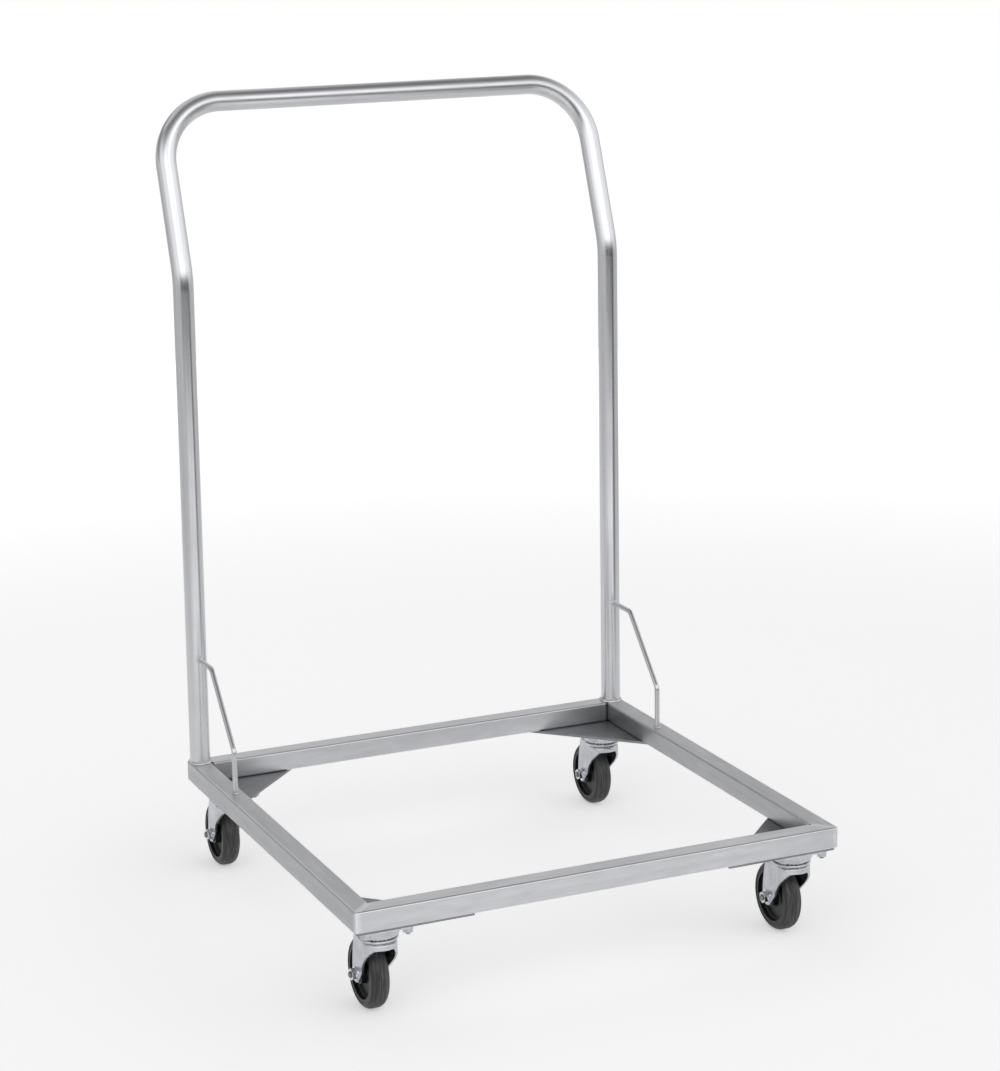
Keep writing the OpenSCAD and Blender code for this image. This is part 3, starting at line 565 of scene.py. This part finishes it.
def thread_steel(name, settings):
    """Dull screw steel, with patches of oil and small rubbed spots."""
    f = Finish(name)
    oil = f.noise(f.place, 420, 3, 0.6)
    lightened = f.noise(f.place, 1500)
    colour = f.shades(oil, settings.tip, 0.7, 1.25, 0.35, 0.65)
    colour = f.patches(colour, lightened, 0.56, 0.7, 0.6, tint(settings.tip, 2.2))
    return f.surface(colour, f.varied(oil, 0.42, 0.26), lightened, 0.00002)


def ball_steel(name):
    """Polished balls under a thin film of grease."""
    f = Finish(name)
    film = f.noise(f.place, 700, 3)
    polished, grease = (0.62, 0.63, 0.64), (0.28, 0.24, 0.19)
    return f.surface(f.patches(polished, film, 0.45, 0.65, 0.7, grease), f.ranged(film, 0.4, 0.7, 0.10, 0.34))


def wheel_place(f, centre):
    """Offset from the wheel's centre: its part along the axle, its distance from the axle, and all of it."""
    moved = f.add("ShaderNodeVectorMath", operation="SUBTRACT")
    f.feed(moved.inputs[0], f.place)
    moved.inputs[1].default_value = centre
    x, y, z = f.axes(moved.outputs[0])
    return x, f.distance(y, z), moved.outputs[0]


def tyre_rubber(name, settings, centre, wheel_r):
    """Hard rubber: turned lines round the tread, mould gloss on the shoulders, dust on the tread."""
    f = Finish(name)
    x, radius, _ = wheel_place(f, centre)
    speck = f.noise(f.place, 900, 4, 0.6)
    clouds = f.noise(f.place, 70, 3, 0.6)
    worn = f.noise(f.place, (650, 45, 45), 4)
    tread = f.smooth(radius, wheel_r - 0.004, wheel_r - 0.0006)
    turned = f.math("SINE", f.times(x, 2 * math.pi / TREAD_LINES))
    dust = f.times(tread, f.ranged(worn, 0.44, 0.68, 0.0, 0.9))
    colour = f.blend(dust, f.shades(clouds, settings.rubber, 0.8, 1.3), tuple(settings.dust))
    rough = f.between(tread, f.varied(clouds, 0.36, 0.48), f.varied(speck, 0.42, 0.6))
    height = f.plus(f.times(speck, 0.8), f.times(turned, f.times(tread, 0.6)))
    return f.surface(colour, rough, height, 0.00006, 0.7, metallic=0.0)


def core_plastic(name, settings, centre, rim_r):
    """Black moulded core: fine mould texture, cloudy flow marks and a painted highlight along the rim edge."""
    f = Finish(name)
    _, radius, offset = wheel_place(f, centre)
    speck = f.noise(f.place, 1300, 3, 0.6)
    flow = f.noise(offset, (60, 60, 60), 3)
    # Painted highlight: a light grey band is painted along the rim's edge, broken up by the flow marks.
    rim = f.smooth(radius, rim_r - 0.0032, rim_r - 0.0006)
    lightened = f.times(rim, f.ranged(flow, 0.35, 0.65, 0.25, 0.9))
    colour = f.blend(lightened, f.shades(flow, settings.plastic, 0.75, 1.5), (0.055, 0.055, 0.056))
    return f.surface(colour, f.varied(speck, 0.30, 0.45), speck, 0.00004, metallic=0.0)


# Shapes of the new pieces

def upright_axis(s):
    """X and Y of the right upright's centre line."""
    return HALF_WIDTH - s.upright_inset, REAR_HIGH.y - s.upright_inset


def handle_path(s):
    """Centre line of the whole handle from the left foot to the right one, as points, directions
    and the normal that stays square to both planes in which the tube is bent.

    It is a straight upright, an arc of the lean's angle, a leaning straight, a quarter arc in the
    leaning plane, the top bar, and the mirror image of all that comes before the bar.
    """
    x, y = upright_axis(s)
    up = np.array([0, math.sin(s.lean), math.cos(s.lean)])
    back = np.array([0, math.cos(s.lean), -math.sin(s.lean)])
    foot = np.array([-x, y, DECK])
    bend = foot + [0, 0, s.upright]
    points, ways, normals = [foot[None]], [np.array([[0, 0, 1.0]])], [np.array([[0, 1.0, 0]])]

    def run(stretch, normal):
        points.append(stretch[0])
        ways.append(stretch[1])
        normals.append(np.broadcast_to(normal, stretch[0].shape))

    run(line(foot, bend, 24), np.array([0, 1.0, 0]))
    lean = arc(bend + [0, s.lean_bend, 0], (0, -s.lean_bend, 0), (-1, 0, 0), s.lean, 20)
    run(lean, np.stack([np.zeros(len(lean[1])), lean[1][:, 2], -lean[1][:, 1]], 1))
    start = points[-1][-1]
    elbow = start + up * (s.lean_length - s.corner_bend)
    run(line(start, elbow, 8), back)
    run(arc(elbow + [s.corner_bend, 0, 0], (-s.corner_bend, 0, 0), back, math.pi / 2, 40), back)
    left = points[-1][-1]
    half_path, half_way, half_normal = (np.concatenate(a) for a in (points, ways, normals))
    mirror = np.array([-1.0, 1, 1])
    bar_path, bar_way = line(left, left * mirror, 24)
    path = np.concatenate([half_path, bar_path[:-1], half_path[::-1] * mirror])
    way = np.concatenate([half_way, bar_way[:-1], -half_way[::-1] * mirror])
    bar_normal = np.broadcast_to(back, bar_path[:-1].shape)
    return path, way, np.concatenate([half_normal, bar_normal, half_normal[::-1] * mirror])


def hollow_tube(path, way, normal, radius, wall, sides):
    """Outer rings from end to end, then the inner rings back again, so that the wall closes at both ends."""
    outer, outer_unbent = sweep(path, way, normal, radius, sides)
    inner, inner_unbent = sweep(path, way, normal, radius - wall, sides)
    return np.concatenate([outer, inner[::-1]]), np.concatenate([outer_unbent, inner_unbent[::-1]])


def rod_path(s, handle, side):
    """Centre line of a brace rod: up from its foot on the side rail, an arc, a straight slope, an
    arc, and level into the upright. Each arc touches its two straights."""
    upright_x, upright_y = upright_axis(handle)
    slope = math.atan2(s.top - s.knee, s.foot - s.upper)
    low_trim = s.bend * math.tan((math.pi / 2 - slope) / 2)
    high_trim = s.bend * math.tan(slope / 2)
    climb = np.array([0, math.cos(slope), math.sin(slope)])
    inward = np.array([0, math.sin(slope), -math.cos(slope)]) * s.bend
    foot = np.array([side * upright_x, upright_y - s.foot, DECK])
    knee = foot + [0, 0, s.knee]
    top = np.array([side * upright_x, upright_y - s.upper, DECK + s.top])
    end = np.array([side * upright_x, upright_y - handle.tube / 2 + SKIN, DECK + s.top])
    low, high = foot + [0, 0, s.knee - low_trim], top - climb * high_trim
    stretches = (
        line(foot, low, 6),
        arc(low + [0, s.bend, 0], (0, -s.bend, 0), (-1, 0, 0), math.pi / 2 - slope, 10),
        line(knee + climb * low_trim, high, 10),
        arc(high + inward, -inward, (-1, 0, 0), slope, 10),
        line(top + [0, high_trim, 0], end, 6),
    )
    path = np.concatenate([foot[None], *(points for points, ways in stretches)])
    way = np.concatenate([[[0, 0, 1.0]], *(ways for points, ways in stretches)])
    return path, way, np.repeat([[1.0, 0, 0]], len(path), 0)


def bead_ring(radius, leg, ripples, rise, around=144, across=16):
    """Rippled bead round a shaft that stands on Z = rise(x): a ring of round section.

    The section's radius is leg x wander x (0.74 + 0.10 sqrt(1 - ripple)). The ripple is a saw from
    0 to 1 that follows the angle round the shaft and lags towards the section's outer edge, as a
    weld pool freezes. The wander is 1 with two slow waves round the shaft.
    """
    a, b = full_turn(around)[:, None], full_turn(across)[None, :]
    ripple = (a * ripples / (2 * math.pi) + 0.35 * np.cos(b - math.pi / 4) ** 2) % 1
    wander = 1 + 0.07 * np.sin(3 * a + 0.7) + 0.04 * np.sin(7 * a + 2.1)
    size = leg * wander * (0.74 + 0.10 * np.sqrt(np.clip(1 - ripple, 0, 1)))
    out = radius + 0.10 * leg + size * np.cos(b)
    return round_points(out, a, rise(out * np.cos(a)) + (0.06 * leg + size * np.sin(b)))


def screw_rings(diameter, pitch, length, end, sides=24, start=0.0002):
    """Rings of a screw from its tip, at Z = 0, eight for each turn of its thread.

    The radius is half the diameter less the tip's chamfer, and less GROOVE pitch times a triangle
    wave of z / pitch - angle / turn, which keeps start from the tip and end from the top.
    """
    z = np.linspace(0, length, 1 + round(length / pitch * 8))[:, None]
    a = full_turn(sides)[None, :]
    chamfer = diameter * CHAMFER
    plain = diameter / 2 - chamfer * (1 - np.clip(z / chamfer, 0, 1))
    threaded = (z > start) & (z < length - end)
    turn = (z / pitch - a / (2 * math.pi)) % 1
    return round_points(plain - GROOVE * pitch * np.abs(2 * turn - 1) * threaded, a, z)


def bolt_rings(s, length, sides=48):
    """Rings of a hexagon bolt from its threaded tip, at Z = 0, to the top of its head.

    The head's radius is the smaller of a hexagon's, half the flats / cos(angle from the middle of
    the side), and of a cone's that falls by 2 for each 1 of height at the head's top.
    """
    screw = screw_rings(s.axle, s.axle_pitch, s.axle_thread, 0.0005, sides)
    shank, flat = length - s.axle_head, s.axle_flats / 2
    a = full_turn(sides)[None, :]
    hexagon = flat / np.cos((a - math.pi / 6) % (math.pi / 3) - math.pi / 6)
    corner = flat / math.cos(math.pi / 6)
    up = np.array(HEAD_HEIGHTS)[:, None] * s.axle_head
    head = np.minimum(hexagon, corner - 2 * np.clip(up - s.axle_head + (corner - flat) / 2, 0, None))
    r = np.concatenate([np.full((1, sides), s.axle / 2), head])
    return np.concatenate([screw, round_points(r, a, np.concatenate([[[shank]], shank + up]))])


# Operators

class DOLLY_OT_camera(bpy.types.Operator):
    """Sets the camera up as the photograph was taken"""
    bl_idname = "dolly.camera"
    bl_label = "Camera"

    def execute(self, context):
        s = context.scene.dolly.camera
        cy, sy, cp, sp = math.cos(s.yaw), math.sin(s.yaw), math.cos(s.pitch), math.sin(s.pitch)
        forward = np.array([-sy * cp, cy * cp, -sp])
        right = np.array([cy, sy, 0.0])
        down = np.cross(forward, right)
        cr, sr = math.cos(s.roll), math.sin(s.roll)
        right, down = cr * right + sr * down, cr * down - sr * right
        data = bpy.data.cameras.new("dolly_camera")
        data.sensor_fit = "AUTO"
        data.sensor_width = SENSOR
        data.lens = s.focal
        data.shift_y = s.shift
        data.clip_start, data.clip_end = 0.1, 60
        camera = bpy.data.objects.new("dolly_camera", data)
        context.scene.collection.objects.link(camera)
        matrix = np.eye(4)
        matrix[:3] = np.stack([right, -down, -forward, s.place], axis=1)
        camera.matrix_world = Matrix(matrix.tolist())
        context.scene.camera = camera
        return {"FINISHED"}


class DOLLY_OT_rails(bpy.types.Operator):
    """Brushes the four rails along their length and grinds their mitre welds"""
    bl_idname = "dolly.rails"
    bl_label = "Rails"

    def execute(self, context):
        s = context.scene.dolly.frame
        for direction, rails in (("across", ("front_rail", "rear_rail")), ("along", ("left_rail", "right_rail"))):
            material = brushed_steel("steel_brushed_" + direction, s, direction == "across")
            for rail in rails:
                dress(rail, material)
        return {"FINISHED"}


class DOLLY_OT_gussets(bpy.types.Operator):
    """Finishes the plain rolled gussets under the corners"""
    bl_idname = "dolly.gussets"
    bl_label = "Gussets"

    def execute(self, context):
        material = rolled_steel("steel_rolled_plate", context.scene.dolly.frame)
        for corner in CORNERS:
            dress(corner + "_gusset", material)
        return {"FINISHED"}


class DOLLY_OT_handle(bpy.types.Operator):
    """Sweeps the hollow handle tube along its bent centre line"""
    bl_idname = "dolly.handle"
    bl_label = "Handle"

    def execute(self, context):
        s = context.scene.dolly.handle
        tube = hollow_tube(*handle_path(s), s.tube / 2, s.wall, s.sides)
        material = satin_bar("steel_satin_tube", s.steel, s.roughness)
        place_piece("handle_bent_tube", [tube], True, material, BASE, "handle_steel", "handle_tube")
        return {"FINISHED"}


class DOLLY_OT_rods(bpy.types.Operator):
    """Sweeps the two brace rods"""
    bl_idname = "dolly.rods"
    bl_label = "Brace Rods"

    def execute(self, context):
        s, handle = context.scene.dolly.rods, context.scene.dolly.handle
        material = satin_bar("steel_drawn_rod", tint(handle.steel, 0.9), 0.24, 1500.0)
        for name, side in (("left", -1), ("right", 1)):
            rod = sweep(*rod_path(s, handle, side), s.rod / 2, 32)
            place_piece(name + "_bent_rod", [rod], False, material, BASE, "rod_steel", name + "_brace_rod")
        return {"FINISHED"}


class DOLLY_OT_beads(bpy.types.Operator):
    """Lays rippled weld beads at the feet of the handle and at both ends of the brace rods"""
    bl_idname = "dolly.beads"
    bl_label = "Weld Beads"

    def execute(self, context):
        s, rods = context.scene.dolly.handle, context.scene.dolly.rods
        x, y = upright_axis(s)
        radius = s.tube / 2
        material = weld_metal("weld_bead")

        def round_upright(across):
            """Height of the upright's surface above its centre line."""
            return np.sqrt(np.clip(radius ** 2 - across ** 2, 0, None))

        feet, ends = [], []
        for side in (-1, 1):
            ring = bead_ring(radius, s.foot_bead, FOOT_RIPPLES, np.zeros_like, 288, 20) + [side * x, y, DECK]
            ring[..., 0] = np.clip(ring[..., 0], SKIN - HALF_WIDTH, HALF_WIDTH - SKIN)
            ring[..., 1] = np.minimum(ring[..., 1], REAR_HIGH.y - SKIN)
            feet.append((ring, None))
            foot = bead_ring(rods.rod / 2, rods.bead, ROD_RIPPLES, np.zeros_like)
            top = bead_ring(rods.rod / 2, rods.bead, ROD_RIPPLES, round_upright)[..., [0, 2, 1]] * [1, -1, 1]
            ends.append((foot + [side * x, y - rods.foot, DECK], None))
            ends.append((top + [side * x, y, DECK + rods.top], None))
        place_piece("handle_foot_beads", feet, True, material, BASE, "weld_metal", "handle_welds")
        place_piece("brace_rod_beads", ends, True, material, BASE, "weld_metal", "brace_welds")
        return {"FINISHED"}


class DOLLY_OT_studs(bpy.types.Operator):
    """Cuts the thread on the sixteen plate studs and finishes their nuts"""
    bl_idname = "dolly.studs"
    bl_label = "Studs And Nuts"

    def execute(self, context):
        s = context.scene.dolly.casters
        low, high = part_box("plate_studs")
        rings = screw_rings(s.stud, s.pitch, high.z - low.z, 0.0003)
        studs = []
        for corner in CORNERS:
            plate_low, plate_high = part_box(corner + "_caster_plate")
            centre = (plate_low + plate_high) / 2
            for dx in (-HOLE_X, HOLE_X):
                for dy in (-HOLE_Y, HOLE_Y):
                    studs.append((rings + [centre.x + dx, centre.y + dy, low.z], None))
        material = thread_steel("steel_stud_threads", s)
        place_piece("plate_stud_threads", studs, False, material, BASE, "zinc_fasteners", "plate_studs")
        # Painted shade: the plate nuts are the same zinc, painted 0.85 times as light.
        dress("plate_nuts", zinc_plate("zinc_shaded_plate_nuts", s, 0.85, -0.1))
        return {"FINISHED"}


class DOLLY_OT_axles(bpy.types.Operator):
    """Turns the four axle bolts, with their hexagon heads and threaded ends"""
    bl_idname = "dolly.axles"
    bl_label = "Axle Bolts"

    def execute(self, context):
        s = context.scene.dolly.casters
        material = thread_steel("steel_axle_bolts", s)
        for corner in CORNERS:
            low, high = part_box(corner + "_axle_bolt")
            bolt = bolt_rings(s, high.x - low.x)[..., [2, 0, 1]]
            bolt = bolt + [low.x, (low.y + high.y) / 2, (low.z + high.z) / 2]
            place_piece(corner + "_threaded_axle", [(bolt, None)], False, material,
                        corner + "_caster", "zinc_fasteners", corner + "_axle_bolt")
        return {"FINISHED"}


class DOLLY_OT_casters(bpy.types.Operator):
    """Plates the pressings of the casters with zinc and greases their balls"""
    bl_idname = "dolly.casters"
    bl_label = "Casters"

    def execute(self, context):
        s = context.scene.dolly.casters
        finishes = (
            (zinc_plate("zinc_pressings", s), ("_caster_plate", "_fork")),
            (zinc_plate("zinc_races", s, 1.03), ("_race_ring", "_lower_race", "_axle_sleeve")),
            # Painted highlight: the king rivets and axle nuts are the same zinc, painted 1.3 times lighter.
            (zinc_plate("zinc_highlit_rivets_and_nuts", s, 1.3, -0.1), ("_king_rivet", "_axle_nut")),
            (ball_steel("steel_balls"), ("_balls",)),
        )
        for corner in CORNERS:
            for material, nodes in finishes:
                for node in nodes:
                    dress(corner + node, material)
        return {"FINISHED"}


class DOLLY_OT_wheels(bpy.types.Operator):
    """Finishes the rubber tyres and the moulded cores"""
    bl_idname = "dolly.wheels"
    bl_label = "Wheels"

    def execute(self, context):
        s = context.scene.dolly.wheels
        for corner in CORNERS:
            low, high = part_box(corner + "_tyre")
            centre = (low + high) / 2
            dress(corner + "_tyre", tyre_rubber(corner + "_rubber", s, centre, (high.z - low.z) / 2))
            core_low, core_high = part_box(corner + "_wheel_core")
            rim_r = (core_high.z - core_low.z) / 2
            dress(corner + "_wheel_core", core_plastic(corner + "_plastic", s, centre, rim_r))
        return {"FINISHED"}


class DOLLY_OT_stage(bpy.types.Operator):
    """Lays the pale floor and hangs the soft lamps"""
    bl_idname = "dolly.stage"
    bl_label = "Stage"

    def execute(self, context):
        s = context.scene.dolly.stage
        rim = round_points(s.radius, full_turn(96), 0.0)
        mesh = bpy.data.meshes.new("stage_floor")
        mesh.from_pydata(rim.tolist(), [], [list(range(len(rim)))])
        mesh.materials.append(self.floor_finish(s))
        floor = bpy.data.objects.new("stage_floor", mesh)
        context.scene.collection.objects.link(floor)
        context.scene.world = self.room(s)
        self.lamp(context.scene, "lamp_front", s.front, place=(-0.4, -3.6, 3.1), aim=(0, 0.2, 0.7), size=(5.4, 2.5))
        self.lamp(context.scene, "lamp_back", s.back, place=(-0.6, 1.6, 3.4), aim=(0, 0, 0.2), size=(3.2, 2.4))
        context.scene.view_settings.view_transform = "Standard"
        return {"FINISHED"}

    def floor_finish(self, s):
        """Matt floor that keeps shadows, lifted to white for the camera.

        Metal sees it brightest in the middle in front, with a strip of shade at the front right and a
        dark far edge.
        """
        f = Finish("stage_floor")
        rays = f.add("ShaderNodeLightPath").outputs
        mirrored = f.math("MAXIMUM", rays["Is Glossy Ray"], rays["Is Transmission Ray"])
        x, y, _ = f.axes(f.place)
        away = f.distance(x, y)
        seen = f.times(rays["Is Camera Ray"], f.smooth(away, 1.2, s.radius, s.lift, s.lift + s.far))
        before = f.smooth(y, -1.0, -0.3, s.shine, s.shine * 0.5)
        beside = f.smooth(f.size(x), 0.9, 2.0, 1.5, 0.5)
        bearing = f.math("ARCTAN2", f.minus(y, HALF_DEPTH), x)  # seen from the middle of the rear rail's outer face
        off_strip = f.size(f.plus(bearing, 0.87))
        strip = f.times(f.smooth(off_strip, 0.09, 0.33, 0.9, 0), f.smooth(away, 0.7, 1.2))
        far_edge = f.smooth(y, -3.2, -2.8, 0.96, 0)
        shade = f.times(mirrored, f.math("MAXIMUM", strip, far_edge))
        shown = f.times(mirrored, f.times(before, f.times(beside, f.minus(1.0, shade))))
        diffuse, glow = f.add("ShaderNodeBsdfDiffuse"), f.add("ShaderNodeEmission")
        f.feed(diffuse.inputs["Color"], f.blend(shade, tint(s.floor, 1.0), tint(s.floor, 0.2)))
        f.feed(glow.inputs["Color"], (1, 1, 1))
        f.feed(glow.inputs["Strength"], f.math("MAXIMUM", seen, shown))
        both = f.add("ShaderNodeAddShader")
        f.feed(both.inputs[0], diffuse.outputs[0])
        f.feed(both.inputs[1], glow.outputs[0])
        f.feed(f.add("ShaderNodeOutputMaterial").inputs[0], both.outputs[0])
        return f.material

    def room(self, s):
        """Plain room, bright in a belt between the floor and the ceiling, and white for the camera.

        It is dimmer at the back, dimmer still high up at the rear left, a little brighter low down at
        the back, and dark low down in front.
        """
        f = Room("stage_room")
        x, y, z = f.axes(f.place)
        belt = f.add("ShaderNodeValToRGB")
        f.feed(belt.inputs["Fac"], z)
        ramp = belt.color_ramp
        ramp.elements[0].position, ramp.elements[0].color = 0.0, (0.52, 0.52, 0.525, 1)
        ramp.elements[1].position, ramp.elements[1].color = 1.0, (0.14, 0.14, 0.142, 1)
        steps = ((0.06, 0.70), (0.14, 0.95), (0.30, 1.08), (0.50, 1.08), (0.62, 0.85), (0.74, 0.45), (0.88, 0.18))
        for height, value in steps:
            ramp.elements.new(height).color = (value, value, value * 1.01, 1)
        dark = f.times(f.smooth(y, -0.80, -0.55, 0.84, 0), f.smooth(z, 0.08, 0.26, 1, 0))
        behind = f.smooth(y, -0.5, 0.8, 1.28, 0.80)
        corner = f.times(f.smooth(f.minus(y, x), 0.7, 1.3, 0, 0.6), f.smooth(z, 0.1, 0.3))
        low = f.times(f.smooth(y, -0.4, 0.3, 0, 0.45), f.smooth(z, 0.02, 0.16, 1, 0))
        back = f.times(behind, f.plus(f.minus(1.0, corner), low))
        light, white = f.add("ShaderNodeBackground"), f.add("ShaderNodeBackground")
        f.feed(light.inputs["Color"], belt.outputs["Color"])
        f.feed(light.inputs["Strength"], f.times(back, f.times(f.minus(1.0, dark), s.sky)))
        f.feed(white.inputs["Color"], (1, 1, 1))
        choose = f.add("ShaderNodeMixShader")
        sources = f.add("ShaderNodeLightPath").outputs["Is Camera Ray"], light.outputs[0], white.outputs[0]
        for socket, source in zip(choose.inputs, sources):
            f.feed(socket, source)
        f.feed(f.add("ShaderNodeOutputWorld").inputs[0], choose.outputs[0])
        return f.material

    def lamp(self, scene, name, power, place, aim, size):
        """Soft rectangular lamp that faces a point."""
        data = bpy.data.lights.new(name, "AREA")
        data.shape = "RECTANGLE"
        data.size, data.size_y = size
        data.energy = power
        lamp = bpy.data.objects.new(name, data)
        scene.collection.objects.link(lamp)
        lamp.location = place
        lamp.rotation_mode = "QUATERNION"
        lamp.rotation_quaternion = (Vector(aim) - Vector(place)).to_track_quat("-Z", "Y")


OPERATORS = (
    DOLLY_OT_camera, DOLLY_OT_rails, DOLLY_OT_gussets, DOLLY_OT_handle, DOLLY_OT_rods, DOLLY_OT_beads,
    DOLLY_OT_studs, DOLLY_OT_axles, DOLLY_OT_casters, DOLLY_OT_wheels, DOLLY_OT_stage,
)


class DOLLY_PT_sidebar(bpy.types.Panel):
    """Lists the pieces of the rack dolly, in the order in which they are made"""
    bl_label = "Rack Dolly"
    bl_idname = "DOLLY_PT_sidebar"
    bl_space_type = "VIEW_3D"
    bl_region_type = "UI"
    bl_category = "Rack Dolly"

    def draw(self, context):
        for operator in OPERATORS:
            self.layout.operator(operator.bl_idname)
        for group in ("frame", "handle", "rods", "casters", "wheels", "stage", "camera"):
            box = self.layout.box()
            box.label(text=group.capitalize())
            settings = getattr(context.scene.dolly, group)
            for key in settings.bl_rna.properties.keys():
                if key not in ("rna_type", "name"):
                    box.prop(settings, key)


CLASSES = (
    DollyFrameSettings, DollyHandleSettings, DollyRodSettings, DollyCasterSettings, DollyWheelSettings,
    DollyStageSettings, DollyCameraSettings, DollySettings, *OPERATORS, DOLLY_PT_sidebar,
)


def register():
    for cls in CLASSES:
        bpy.utils.register_class(cls)
    bpy.types.Scene.dolly = PointerProperty(type=DollySettings)


def unregister():
    del bpy.types.Scene.dolly
    for cls in reversed(CLASSES):
        bpy.utils.unregister_class(cls)


def main():
    register()
    for operator in OPERATORS:
        group, name = operator.bl_idname.split(".")
        getattr(getattr(bpy.ops, group), name)()


if __name__ == "__main__":
    main()
